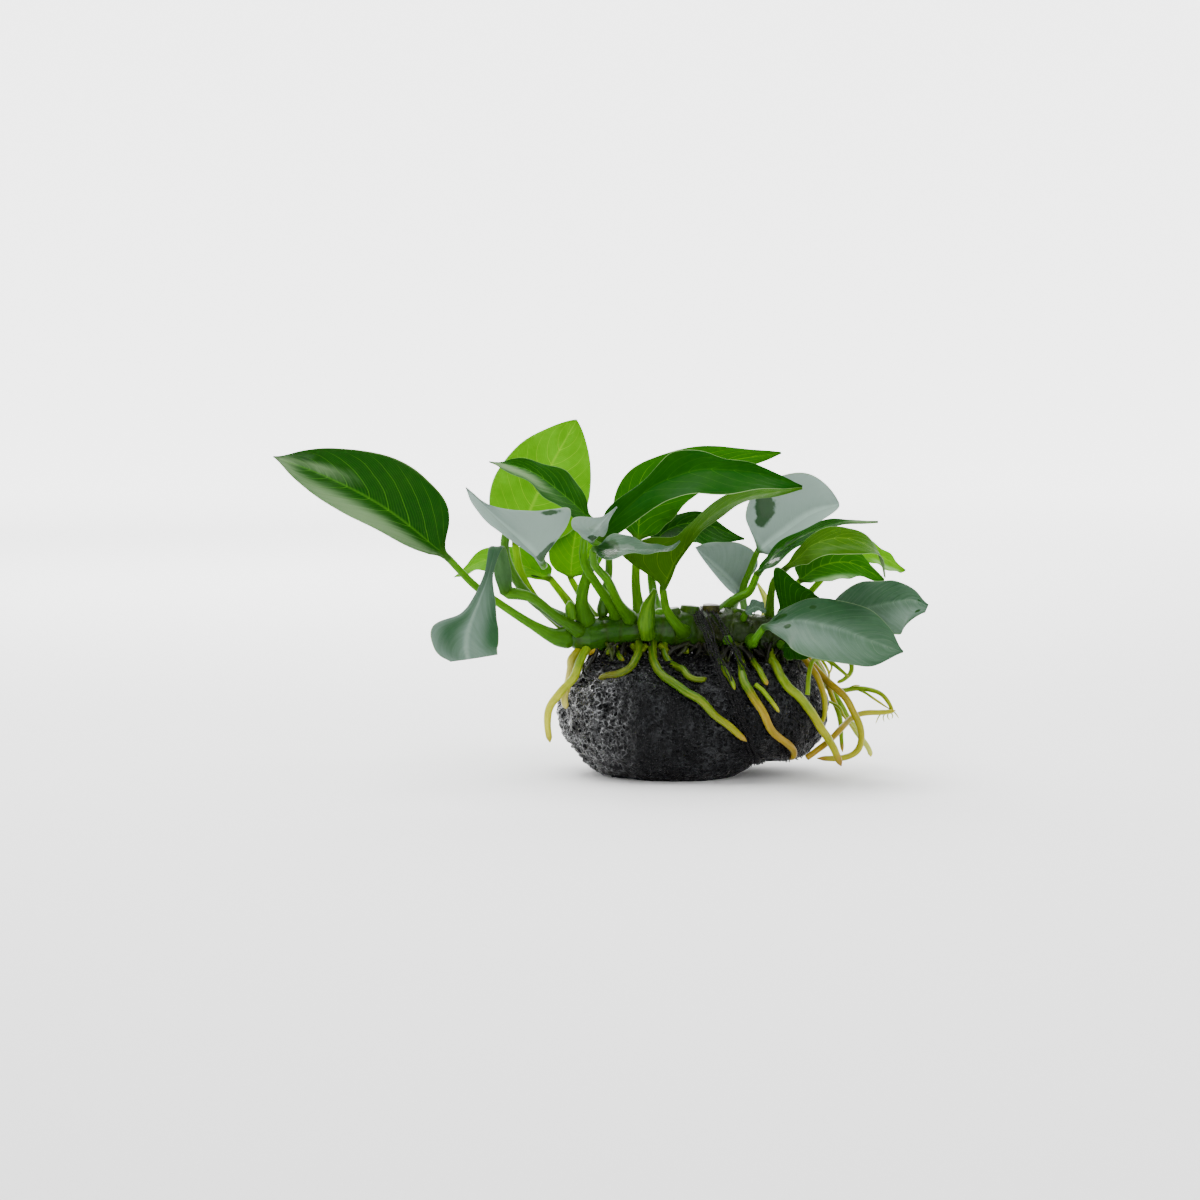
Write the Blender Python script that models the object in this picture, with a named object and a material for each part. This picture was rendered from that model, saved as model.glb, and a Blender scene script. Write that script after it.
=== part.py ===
"""An anubias plant tied to a dark lava stone.

The origin lies in the middle of the flat patch that the stone rests on, +Z is up and the
plant is seen from -Y. Places and sizes are in millimetres here, and become metres in the mesh.
"""
import math
from collections import namedtuple

import bmesh
import bpy
from mathutils import Vector, noise
from mathutils.bvhtree import BVHTree
from mathutils.geometry import convex_hull_2d

MM = 0.001
GAP = 0.35
ROOT_GAP = 0.5

# Stone
STONE_OUTLINE = [
    (-32, 43), (-39.5, 38.5), (-45.5, 31.5), (-48.8, 24), (-47.6, 15.5), (-43, 8), (-36, 1.5),
    (-27, -2), (-13, -4.5), (0, -4.2), (11, -1.5), (17, 1.5), (22, 4), (34, 5), (40, 7.5),
    (45, 15), (47.2, 24),
    (45, 31.5), (41, 37), (34, 40.5), (22, 42.3), (8, 43), (-8, 43), (-22, 43.6),
]
STONE_MIDDLE = (0, 21)
STONE_FRONT = 34
STONE_BACK = 33
STONE_SQUARENESS = 0.82
STONE_DEPTH_SQUARENESS = 0.9
STONE_OUTLINE_SAMPLES = 480
STONE_LUMPS = [(0.045, 1.4), (0.13, 0.5)]
HOLLOWS_PER_MM = 0.09
HOLLOW_DEPTH = 2.4
HOLLOW_WIDTH = 0.6
HOLLOWS_WHERE_WORN = 0.16
HOLLOWS_AT_RIGHT = 0.7
COARSE_LEFT = (18, 34)
COARSE_TOP = (32, 41)
COARSE_RIGHT = (30, 44)
COARSE_BACK = (-8, 8)
STONE_DETAIL = 4

# Rhizome: a place on its middle line and its radius there
RHIZOME = [
    ((-44, -4, 50.5), 3.5), ((-42, -4.5, 50), 5.8), ((-37, -5, 49.5), 6.6), ((-30, -5, 50.5), 5.3),
    ((-19.5, -5, 51.5), 5.6), ((-9, -5, 51.5), 6.6), ((1.5, -4, 51.5), 7.2), ((12, -4, 51), 7.2),
    ((22.5, -4, 49.5), 6.6), ((32, -3, 47.5), 5.4), ((38, -2, 46), 4.2), ((40.5, -2, 45.5), 2.4),
]
RHIZOME_SIDES = 10
RHIZOME_STATIONS = 23
SCAR_EVERY = 6.5
SCAR_DEPTH = 0.5

# Leaves
BLADE_SAMPLES = 60
BLADE_STATIONS = (0.035, 0.1, 0.2, 0.33, 0.5, 0.67, 0.84, 0.94, 1.0)
BLADE_HALF_THICKNESS = 0.35
MIDRIB_DEPTH = 0.9
TIP_HALF_WIDTH = 0.4
FOLD_STARTS = 0.1
RING = 8

Leaf = namedtuple("Leaf", "name tone stalk radii blade side half fold widest fullness")


def leaf_row(name, tone, stalk, blade, side, half, fold=(8, 8), widest=0.4, fullness=1.4,
             radii=(1.9, 1.25)):
    """One leaf: its stalk from the rhizome to the blade, and its blade from there to the tip.

    side points to the blade's right as seen on its upper face with the tip up, half holds the
    widths right and left of the midrib, and fold the degrees that each half rises. A half is one
    number for a plain leaf shape, or a list of widths from the blade's base to its tip.
    """
    return Leaf(name, tone, stalk, radii, blade, side, half, fold, widest, fullness)


LEAVES = [
    leaf_row(
        "leaf_01", "deep",
        [(-41, -7, 49), (-48.5, -7.5, 48.7), (-57, -8.5, 53), (-67.5, -10, 60), (-77, -11, 67),
         (-86, -12, 76.5)],
        [(-86, -12, 76.5), (-106.5, -17, 93.5), (-126.5, -22, 105), (-145, -26, 112.5)],
        [(0.5, 0.42, 0.75)],
        half=((1.2, 13.6, 16.8, 16.4, 13.8, 9.8, 5.4, 0.3), (1.2, 6.6, 9.6, 10.9, 10.9, 9.8, 5.6, 0.3)),
        fold=(22, 22),
        radii=(2.6, 2.6, 1.7, 1.4, 1.3, 1.25),
    ),
    leaf_row(
        "leaf_02", "grey",
        [(-38, -8, 49), (-48, -13, 56), (-57, -15, 63), (-66, -15, 65)],
        [(-66, -15, 65), (-67.5, -17, 74), (-69, -23, 81.5), (-71.5, -31, 72.5),
         (-74.5, -37, 64.5), (-77, -40, 58.5), (-79, -42, 53.5), (-80, -43.5, 49), (-80, -44.5, 45)],
        [(-1, -0.1, 0)],
        half=((3.2, 3.0, 2.6, 1.6, 2.3, 4.5, 11.3, 9.8, 1.5),
              (2.8, 3.0, 2.4, 1.6, 6.0, 9.5, 11.5, 12.2, 12.0)),
        fold=(5, 5), radii=(1.9, 1.5, 1.6, 2.3),
    ),
    leaf_row(
        "leaf_03", "fresh",
        [(-40, 1, 52), (-44.5, 9, 59), (-51, 13, 67)],
        [(-51, 13, 67), (-62, 20, 71.5), (-74.5, 27, 72.5), (-86, 33, 66)],
        [(0, 0.9, 0.45)], half=(8.5, 9),
    ),
    leaf_row(
        "leaf_04", "bright",
        [(-43, -1, 50.5), (-54, 3, 58), (-61, 5, 69), (-63.5, 9, 79.5)],
        [(-63.5, 9, 79.5), (-58, 22, 92), (-51, 33, 106.5), (-42, 44, 122)],
        [(0.91, -0.1, -0.42)], half=(18.5, 16.5), widest=0.42,
    ),
    leaf_row(
        "leaf_05", "deep",
        [(-27, -4, 53), (-29, -9, 59), (-35, -18, 68.5), (-39, -20, 76), (-39, -15, 83),
         (-36.5, -10, 89.5)],
        [(-36.5, -10, 89.5), (-45.5, -14, 98), (-57.5, -18, 107), (-71.5, -22, 110.5)],
        [(0.2, 0.9, 0.38)], half=((1.2, 10, 11.5, 7.5, 4, 0.3), (1.2, 9, 11.5, 12.5, 8, 0.3)),
    ),
    leaf_row(
        "leaf_06", "grey",
        [(-43, -5, 52.5), (-56, -4, 60.5), (-63, -5, 69), (-66.5, -6, 78), (-65.5, -8, 85.5),
         (-60.5, -11, 85), (-56, -16, 79.5), (-53, -22, 75), (-53, -27, 76)],
        [(-53, -27, 76), (-62, -31, 85.5), (-70.5, -34, 94), (-79, -36, 102.5)],
        [(0.68, 0, 0.73)],
        half=((1, 14.3, 19.6, 15.8, 11.6, 8.4, 5.4, 3.2, 1.6, 0.7, 0.5, 0.3),
              (0.8, 1.5, 2.5, 3.5, 4.5, 5.5, 6.3, 7, 6.8, 5.8, 4, 0.3)),
        fold=(0, 65),
    ),
    leaf_row(
        "leaf_07", "grey",
        [(-33, -4, 54), (-32, -5, 62), (-30.5, -11, 73), (-31.5, -18, 79.5), (-36.5, -24, 83.5)],
        [(-36.5, -24, 83.5), (-36.5, -27, 86), (-34.5, -32, 88.5), (-31.5, -38, 92.5),
         (-28, -43, 96.5)],
        [(1, 0, 0), (0.8, -0.1, -0.6)], half=((1.1, 2.8, 3.5, 1.5, 0.3), (1.1, 5, 9.2, 1.4, 0.3)),
        radii=(1.6, 1.1),
    ),
    leaf_row(
        "leaf_08", "grey",
        [(-21.5, -8, 53.5), (-27, -17, 61), (-31, -26, 70), (-35.5, -31, 76), (-36, -33.5, 81.5)],
        [(-36, -33.5, 81.5), (-30.5, -35, 81.5), (-25, -36, 81.5), (-20, -37, 81.5), (-15, -38, 81.5),
         (-10.5, -38, 82), (-6.5, -38, 84.5)],
        [(0, -0.9, -0.4)],
        half=((1, 9, 5.5, 3.2, 2.5, 2.5, 0.3), (1, 8.5, 6.7, 4.7, 2.7, 2, 0.3)), fold=(8, 15),
    ),
    leaf_row(
        "leaf_09", "bright",
        [(-34, -1, 52), (-39, 9, 59), (-44, 12, 67.5)],
        [(-44, 12, 67.5), (-43.5, 15, 75), (-42, 20, 84), (-39.5, 26, 91.5)],
        [(0.98, 0.1, -0.1)], half=(11, 9), fold=(12, 12), radii=(1.5, 1.1),
    ),
    leaf_row(
        "leaf_10", "fresh",
        [(-19, -3, 52), (-21, 4, 66), (-20.5, 6, 81)],
        [(-20.5, 6, 81), (-18.5, 14, 92), (-9, 20, 101), (9, 24, 107.5), (31, 26, 111)],
        [(0.9, 0.2, -0.4), (0.6, -0.5, -0.6), (0, -0.85, -0.5)], half=(12, 12),
    ),
    leaf_row(
        "leaf_11", "deep",
        [(-38, -6, 51), (-40, -11, 62), (-37.5, -14, 72.5), (-33.5, -16, 83)],
        [(-33.5, -16, 83), (-28, -19, 91), (-16.5, -23, 101.5), (-8, -25, 105.5), (0.5, -26, 108),
         (9.5, -26.5, 108), (19, -26, 107), (28, -25, 104.5), (35.5, -24, 102)],
        [(0.5, -0.7, -0.5), (0.1, -0.85, -0.5), (0, -0.85, -0.5)],
        half=((1.5, 8, 11, 14, 17.5, 18.5, 14, 6.5, 0.3),
              (1.5, 5.6, 4.9, 10.4, 9.8, 5.2, 4.3, 3.2, 0.3)),
        fold=(8, 12), radii=(2.6, 1.5),
    ),
    leaf_row(
        "leaf_12", "olive",
        [(-4, -7, 50), (-6, -16, 52.5), (-10.5, -18, 59), (-12, -18, 66.5)],
        [(-12, -18, 66.5), (-10, -18, 70.5), (-7.5, -18, 76), (-3.5, -17, 81.5), (0.5, -16, 87.5),
         (8, -14, 93.5), (16.5, -14, 97.5), (26.5, -15, 99.5), (36, -17, 101)],
        [(0.87, 0, -0.5), (0.85, -0.1, -0.5), (0.25, -0.92, -0.3), (0.1, -0.95, -0.3),
         (0, -0.95, -0.3)],
        half=((1.2, 1.2, 1, 1.5, 5, 7, 6.5, 5, 0.4), (1.2, 17.5, 14, 6, 6.5, 7, 6.5, 5, 0.4)),
        fold=(10, 5),
    ),
    leaf_row(
        "leaf_13", "deep",
        [(-12, -3, 53), (-15, 12, 63.5), (-16, 16, 77)],
        [(-16, 16, 77), (-9.5, 20, 84), (2, 25, 86), (18, 28, 80)],
        [(0, -0.8, -0.55)], half=((1.2, 9, 13, 15, 14.5, 9, 0.3), (1.2, 4.5, 5.5, 5.5, 5.5, 3.5, 0.3)),
    ),
    leaf_row(
        "leaf_14", "grey",
        [(20, -2, 50), (17.5, 8, 56.5), (17, 14, 63), (19.5, 14, 70), (22, 12, 77)],
        [(22, 12, 77), (32, 15, 84), (41.5, 18, 90), (51.5, 21, 93)],
        [(0.5, 0, -0.87)], half=(9, 18), fold=(65, 0), widest=0.42, fullness=1.0,
        radii=(1.5, 1.1),
    ),
    leaf_row(
        "leaf_15", "grey",
        [(12, 0, 52), (14, 16, 57), (16.5, 20, 62)],
        [(16.5, 20, 62), (11, 17.5, 67.5), (5.5, 14, 73), (0, 10.5, 78.5)],
        [(0.7, 0, 0.7)], half=(13.5, 9), fold=(0, 75), widest=0.33, fullness=1.2,
        radii=(1.5, 1.1),
    ),
    leaf_row(
        "leaf_16", "deep",
        [(5, -3, 53), (12.5, 0, 60.5), (18.5, 3, 63.5), (21.5, 4, 69.5)],
        [(21.5, 4, 69.5), (24.5, 3.5, 73), (28.5, 2, 77), (34.5, 0, 81.5), (40.5, -2, 85),
         (46.5, -5, 87.5), (53, -8, 89), (62.5, -12, 89)],
        [(0.2, -0.9, -0.35)],
        half=((1.3, 4.4, 7.5, 7, 6, 4.4, 1.8, 0.4), (1.3, 3, 4.5, 3.8, 3.8, 2.8, 1.6, 0.4)),
        fold=(10, 10), radii=(2, 1.3),
    ),
    leaf_row(
        "leaf_17", "olive",
        [(25, -3, 50), (25.5, -3, 57), (26, -3, 63), (27, -5, 68), (30, -9, 72)],
        [(30, -9, 72), (35.5, -14, 77.5), (39.5, -18, 81.5), (46, -21, 84), (52, -22, 84),
         (58.5, -21, 81.5), (63, -20, 77.5), (64.5, -19, 70.5)],
        [(0.2, -0.9, -0.3), (0, -0.9, -0.4), (0.2, -0.9, 0.1)],
        half=((1.2, 4.5, 8, 10, 10, 8.3, 5, 0.6), (1.2, 4.5, 5.5, 6.5, 7.5, 8, 9, 1.5)),
        fold=(-5, 10), radii=(1.6, 1.2),
    ),
    leaf_row(
        "leaf_18", "bright",
        [(28.5, -2, 48), (30.5, 9, 55.5), (33.5, 14, 61), (37, 16, 66)],
        [(37, 16, 66), (44.5, 18, 71), (55.5, 22, 72), (68, 26, 65.5)],
        [(0, -0.75, -0.6)], half=(10, 10), radii=(1.4, 1.1),
    ),
    leaf_row(
        "leaf_19", "bright",
        [(32, -1, 48), (37.5, 18, 57), (47, 26, 67.5), (54, 30, 75)],
        [(54, 30, 75), (63, 34, 75.5), (70.5, 38, 71.5), (77, 42, 67.5)],
        [(0, -0.7, -0.6)], half=(7, 4.5), radii=(1.4, 1.0),
    ),
    leaf_row(
        "leaf_20", "grey",
        [(33, -3, 47.5), (38, -5, 50.5), (43.5, -6, 54)],
        [(43.5, -6, 54), (50, -9, 56.5), (56, -11, 58.5), (62, -13, 60), (68, -15, 61.5),
         (74, -17, 62.5), (79.5, -18, 60.5)],
        [(0, -0.75, -0.65)],
        half=((1.2, 10, 13.5, 15.5, 17, 18, 8), (1.2, 9, 11, 11, 9, 5, 0.5)),
    ),
    leaf_row(
        "leaf_21", "grey",
        [(19, -7, 48), (19, -15, 47.5), (19.5, -20.5, 49), (22.5, -22, 53.5)],
        [(22.5, -22, 53.5), (29, -25, 55.5), (35, -28, 56.5), (41.5, -31, 55.5), (48.5, -33.5, 54),
         (55.5, -36, 51.5), (62.5, -38, 49), (69, -40, 47)],
        [(-0.1, -0.78, -0.62)],
        half=((1.2, 7.5, 13, 18.5, 18.5, 17.5, 13, 0.3), (1.2, 6.5, 9.5, 11.5, 12.5, 11.5, 8, 0.3)),
    ),
    leaf_row(
        "leaf_22", "deep",
        [(28, -6, 50), (29, -9, 53.5), (29, -11, 58)],
        [(29, -11, 58), (33, -13, 60), (37.5, -15, 62), (42, -17, 63.5)],
        [(0.29, 0, -0.96)], half=((1.2, 4, 5, 4, 2, 0.3), (1.2, 12, 14.5, 8.5, 4, 0.3)),
        fold=(-65, 0), radii=(1.5, 1.1),
    ),
    leaf_row(
        "small_leaf_01", "grey",
        [(15, -7, 52), (17, -9.5, 57.5)], [(17, -9.5, 57.5), (20.5, -11, 59.5), (24, -12, 58)],
        [(0, -0.8, -0.6)], half=(3.5, 3.5), radii=(1.0, 0.8),
    ),
    leaf_row(
        "small_leaf_02", "deep",
        [(28.5, -7, 46.5), (30, -17, 46)], [(30, -17, 46), (33, -24, 46.5), (37.5, -30, 44)],
        [(0, -0.5, -0.85)], half=(4.5, 4.5), radii=(1.2, 1.0),
    ),
]

# Shoot and sheaths: tapered rolls, each with a place and a radius along it
ROLLS = [
    ("shoot_01", "bright", [((23, 1, 51), 1.3), ((25, 6, 59), 1.5), ((22, 8, 66), 0.5)]),
    ("sheath_01", "olive", [((-17, -10.5, 49), 2.6), ((-17.5, -13, 53.5), 3.0),
                            ((-17, -14, 59.5), 2.5), ((-14.5, -14, 66), 0.8)]),
]

# Roots: a place with None for its depth lies on the front of the stone
ROOTS = [
    ("root_01", 1.5, [(-39, -6, 45.5), (-43.5, -8, 41.5), (-43.5, -9, 38), (-44.5, -12.5, 33),
                      (-46, -15, 28.5), (-45, -15.5, 24.5)]),
    ("root_02", 1.5, [(-37, -7, 47), (-40.5, -13, 41), (-42.5, -17, 35.5), (-47, -18, 31),
                      (-50.5, -18, 26), (-52, -17, 20), (-51, -16, 13)]),
    ("root_03", 1.3, [(-32, -6, 48.5), (-35, -8, 45), (-38, -7.5, 42.5)]),
    ("root_04", 1.2, [(-29, -7, 49), (-28, None, 43), (-25.5, None, 41)]),
    ("root_05", 1.4, [(-20, -7, 47.5), (-20.5, -15, 44), (-23, None, 39.5), (-28, None, 37),
                      (-34, None, 35.5)]),
    ("root_06", 1.5, [(-15, -6, 49), (-15.5, None, 41.5), (-12.5, None, 37), (-5.5, None, 33),
                      (0.5, None, 30), (6, None, 24.5), (11, None, 20.5), (16.5, None, 15.5)]),
    ("root_07", 1.3, [(-11, -6, 49), (-11, None, 41.5), (-7, None, 39), (-4, None, 37.5),
                      (-1, None, 36), (3, None, 36.5)]),
    ("root_08", 1.3, [(5.5, -7, 48), (7, None, 42), (9, None, 39), (12.5, None, 33)]),
    ("root_09", 1.5, [(14, -7, 48), (15, None, 40), (15.5, None, 36), (17, None, 33.5),
                      (18.5, None, 31), (21.5, None, 26.5), (24, None, 21), (27.5, None, 16.5),
                      (33, None, 11.5), (32.5, None, 7)]),
    ("root_10", 0.9, [(19.5, None, 34.5), (22, None, 33), (24, None, 30.5), (27.5, None, 25.5)]),
    ("root_11", 1.2, [(18, -6.5, 46.5), (19, None, 41), (21.5, None, 38.5), (23.5, None, 34.5)]),
    ("root_12", 1.6, [(25, -6, 47), (26, None, 40), (28.5, None, 36), (31, None, 33),
                      (35, None, 29.5), (39.5, None, 23.5), (43, -22, 18), (46, -20, 13.5),
                      (48, -19, 9), (50, -19, 5)]),
    ("root_13", 0.8, [(37.5, -28, 31), (38, -26, 37), (39.5, -22, 42), (44.5, -18, 42),
                      (48.5, -20, 39.5), (52, -21, 36)]),
    ("root_14", 1.3, [(36, -3, 45), (42.5, -6, 36), (47.5, -9, 32), (51.5, -10, 28),
                      (54.5, -10, 23), (57, -9, 17), (57.5, -8, 11), (55, -8, 7.5),
                      (49, -10, 6.5), (42, -14, 7)]),
    ("root_15", 0.9, [(38.5, -1, 45.5), (46.5, 5, 32), (51, 6, 28.5), (56.5, 6, 29),
                      (62.5, 5, 28.5), (66, 4, 27), (68.5, 3, 23.5), (69.5, 3, 21)]),
    ("root_16", 1.1, [(38, -19, 8), (42, -17, 10.5), (49, -12, 15.5), (54.5, -3, 19.5),
                      (60, 0, 21), (65.5, 1, 21), (70.5, 2, 21.5)]),
    ("root_17", 1.0, [(36, -1, 46), (44, 9, 37.5), (48.5, 13, 26), (51, 13, 19), (52, 13, 13.5),
                      (52.5, 13, 5.5)]),
    ("root_18", 1.2, [(31, 0, 47), (36, 11, 42.5), (41, 17, 36), (47, 20, 29), (52, 20, 22),
                      (56, 20, 15), (60, 21, 9.5), (62.5, 21, 5.5), (63.5, 21, 2.5)]),
    ("root_19", 0.9, [(38, -4, 46.5), (46.5, -11, 44), (52.5, -14, 42), (53.5, -14.5, 37.5),
                      (51, -15, 34.5), (48.5, -16, 33.5)]),
    ("root_20", 1.1, [(33, -6, 46), (40, -16, 38.5), (43.5, -16, 31.5), (44.5, -15, 25),
                      (43.5, -14, 19)]),
]
ROOT_SIDES = 5
ROOT_TAPER = 0.35

# Tie threads: a place in each loop's plane, the line it circles, and the roots it runs inside of
THREAD_RADIUS = 0.45
THREAD_CLEARANCE = 1.9
THREAD_SIDES = 3
THREAD_STEP = 10.0
THREADS = [
    ("tie_thread_01", (0.0, 0, 40.8), (-0.03, 0.03, 1.0), ("root_01", "root_02", "root_03",
                                                           "root_13", "root_19")),
    ("tie_thread_02", (4.0, -4, 50), (0.93, 0.0, 0.36), ()),
    ("tie_thread_03", (8.5, -4, 50), (0.9, 0.12, 0.42), ()),
    ("tie_thread_04", (35.5, -4, 44), (0.99, -0.12, 0.05), ()),
]

# Colour, roughness
FINISHES = {
    "stone": ((0.025, 0.027, 0.03), 0.6),
    "rhizome": ((0.06, 0.12, 0.02), 0.4),
    "root": ((0.45, 0.42, 0.08), 0.45),
    "thread": ((0.01, 0.01, 0.012), 0.6),
    "deep": ((0.02, 0.11, 0.01), 0.25),
    "olive": ((0.06, 0.14, 0.02), 0.3),
    "fresh": ((0.07, 0.3, 0.01), 0.3),
    "bright": ((0.16, 0.45, 0.02), 0.35),
    "grey": ((0.14, 0.24, 0.17), 0.2),
}


def clear_scene():
    for item in list(bpy.data.objects):
        bpy.data.objects.remove(item, do_unlink=True)


def material(name):
    """The named finish, made once."""
    found = bpy.data.materials.get(name)
    if found:
        return found
    colour, roughness = FINISHES[name]
    made = bpy.data.materials.new(name)
    made.use_nodes = True
    shader = made.node_tree.nodes["Principled BSDF"]
    shader.inputs["Base Color"].default_value = (*colour, 1)
    shader.inputs["Roughness"].default_value = roughness
    return made


def add_object(name, points, faces, finish):
    """A smooth-shaded object in metres from points in millimetres."""
    mesh = bpy.data.meshes.new(name)
    mesh.from_pydata([Vector(p) * MM for p in points], [], faces)
    mesh.materials.append(material(finish))
    mesh.shade_smooth()
    made = bpy.data.objects.new(name, mesh)
    bpy.context.collection.objects.link(made)
    return made


def smooth(points, count, closed=False):
    """count places along a smooth curve through the points, at even steps of its parameter."""
    points = [Vector(p) for p in points]
    last = len(points) - 1
    spans = len(points) if closed else last
    made = []
    for step in range(count):
        place = spans * step / (count if closed else count - 1)
        i = min(int(place), spans - 1)
        t = place - i
        if closed:
            a, b, c, d = (points[(i + k) % len(points)] for k in (-1, 0, 1, 2))
        else:
            b, c = points[i], points[i + 1]
            a = points[i - 1] if i else b + (b - c)
            d = points[i + 2] if i + 2 <= last else c + (c - b)
        made.append(
            0.5 * (2 * b + (c - a) * t + (2 * a - 5 * b + 4 * c - d) * t**2
                   + (3 * b - a - 3 * c + d) * t**3)
        )
    return made


def read_at(values, t):
    """A value or vector read between evenly spaced ones, for t from 0 to 1."""
    place = min(max(t, 0.0), 1.0) * (len(values) - 1)
    i = min(int(place), max(len(values) - 2, 0))
    if len(values) == 1:
        return values[0]
    return values[i] + (values[i + 1] - values[i]) * (place - i)


def read_smooth(values, t):
    """A number read along a smooth curve through evenly spaced ones, for t from 0 to 1."""
    place = t * (len(values) - 1)
    i = min(int(place), len(values) - 2)
    f = place - i
    a, b, c, d = (values[min(max(i + k, 0), len(values) - 1)] for k in (-1, 0, 1, 2))
    return 0.5 * (2 * b + (c - a) * f + (2 * a - 5 * b + 4 * c - d) * f**2
                  + (3 * b - a - 3 * c + d) * f**3)


def ease(t, low=0.0, high=1.0):
    """A smooth rise from 0 to 1 between low and high."""
    t = min(max((t - low) / (high - low), 0.0), 1.0)
    return t * t * (3 - 2 * t)


def directions(points):
    """The unit direction of the line at each point."""
    found = []
    for i in range(len(points)):
        ahead = points[min(i + 1, len(points) - 1)]
        behind = points[max(i - 1, 0)]
        found.append((ahead - behind).normalized())
    return found


def square_to(vector, direction):
    """The unit part of a vector that is square to a direction."""
    return (vector - direction * vector.dot(direction)).normalized()


def loft(name, rings, finish, closed=False):
    """A closed skin over rings of equal length, with flat ends unless it closes on itself.

    The two halves of each ring are split along opposite diagonals, so that a thin blade's upper
    and under side stay apart where it twists.
    """
    size = len(rings[0])
    points = [p for ring in rings for p in ring]
    faces = []
    for i in range(len(rings) if closed else len(rings) - 1):
        here, there = i * size, (i + 1) % len(rings) * size
        for k in range(size):
            after = (k + 1) % size
            a, b, c, d = here + k, here + after, there + after, there + k
            faces += [(a, b, c), (a, c, d)] if k < size // 2 else [(a, b, d), (b, c, d)]
    if not closed:
        faces.append(tuple(reversed(range(size))))
        faces.append(tuple(range((len(rings) - 1) * size, len(rings) * size)))
    return add_object(name, points, faces, finish)


def round_rings(points, radii, sides, closed=False):
    """Rings of a round tube that doesn't twist."""
    lines = directions(points)
    if closed:
        count = len(points)
        lines = [(points[(i + 1) % count] - points[i - 1]).normalized() for i in range(count)]
    start = Vector((0, 1, 0)) if abs(lines[0].y) < 0.9 else Vector((1, 0, 0))
    across = square_to(start, lines[0])
    rings = []
    for point, line, radius in zip(points, lines, radii):
        across = square_to(across, line)
        up = line.cross(across)
        turns = [2 * math.pi * k / sides for k in range(sides)]
        rings.append(
            [point + (across * math.cos(a) + up * math.sin(a)) * radius for a in turns]
        )
    return rings


def coarseness(place):
    """Where the stone's hollows are deep: at its left end, top, right end and back."""
    left = ease(-place.x, *COARSE_LEFT)
    top = ease(place.z, *COARSE_TOP)
    right = HOLLOWS_AT_RIGHT * ease(place.x, *COARSE_RIGHT)
    back = ease(place.y, *COARSE_BACK)
    return max(HOLLOWS_WHERE_WORN, left, top, right, back)


def hollow(place):
    """How deep a burst bubble is pressed into the stone at a place."""
    near = noise.voronoi(place * HOLLOWS_PER_MM)[0][0]
    return HOLLOW_DEPTH * max(0.0, 1 - (near / HOLLOW_WIDTH) ** 2) * coarseness(place)


def stone_points():
    """The stone as a ball of points pushed out to the outline, with lumps and a flat underside."""
    middle = Vector((STONE_MIDDLE[0], 0, STONE_MIDDLE[1]))
    edge = smooth([(x, 0, z) for x, z in STONE_OUTLINE], STONE_OUTLINE_SAMPLES, closed=True)
    edge = sorted(((math.atan2((p - middle).z, (p - middle).x), (p - middle).length) for p in edge))

    def reach(angle):
        later = next((k for k, (a, _) in enumerate(edge) if a >= angle), 0)
        return edge[later][1]

    ball = bmesh.new()
    bmesh.ops.create_icosphere(ball, subdivisions=STONE_DETAIL, radius=1)
    places = []
    for vertex in ball.verts:
        d = vertex.co.normalized()
        angle = math.atan2(d.z, d.x)
        level = math.hypot(d.x, d.z)
        out = reach(angle) * level**STONE_SQUARENESS
        depth = STONE_FRONT if d.y < 0 else STONE_BACK
        place = middle + Vector((
            math.cos(angle) * out,
            math.copysign(depth * abs(d.y) ** STONE_DEPTH_SQUARENESS, d.y),
            math.sin(angle) * out,
        ))
        for frequency, height in STONE_LUMPS:
            place += d * noise.noise(place * frequency) * height
        place -= d * hollow(place)
        place.z = max(place.z, 0)
        places.append(place)
    faces = [tuple(v.index for v in face.verts) for face in ball.faces]
    ball.free()
    return places, faces


def push_off(tree, points, reach):
    """Moves points out of a body until they lie at least their reach from its surface."""
    made = []
    for point, distance in zip(points, reach):
        for _ in range(3):
            near, normal, _, _ = tree.find_nearest(point)
            outside = (point - near).dot(normal)
            if outside < distance:
                point = near + normal * distance
        made.append(point)
    return made


def on_stone(tree, place, radius):
    """The place as given, or on the front of the stone where it has no depth of its own."""
    x, y, z = place
    if y is not None:
        return Vector(place)
    hit, normal, _, _ = tree.ray_cast(Vector((x, -200, z)), Vector((0, 1, 0)))
    return hit + normal * (radius + ROOT_GAP)


def make_rhizome(tree, name, finish, extra=0.0):
    """The rhizome with its ring scars; extra makes it fatter, for cutting room around it."""
    places = smooth([place for place, _ in RHIZOME], RHIZOME_STATIONS)
    radii = []
    for i, place in enumerate(places):
        radius = read_at([r for _, r in RHIZOME], i / (RHIZOME_STATIONS - 1))
        scar = SCAR_DEPTH * (0.5 + 0.5 * math.cos(2 * math.pi * place.x / SCAR_EVERY))
        radii.append(radius - scar)
    places = push_off(tree, places, [r + GAP for r in radii])
    return loft(name, round_rings(places, [r + extra for r in radii], RHIZOME_SIDES), finish)


def half_width(leaf, half, t):
    """How far one half of the blade reaches from the midrib at t."""
    if isinstance(half, tuple):
        return read_smooth(half, t)
    a = leaf.fullness * leaf.widest
    b = leaf.fullness * (1 - leaf.widest)
    return half * t**a * (1 - t) ** b / (leaf.widest**a * (1 - leaf.widest) ** b)


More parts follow.
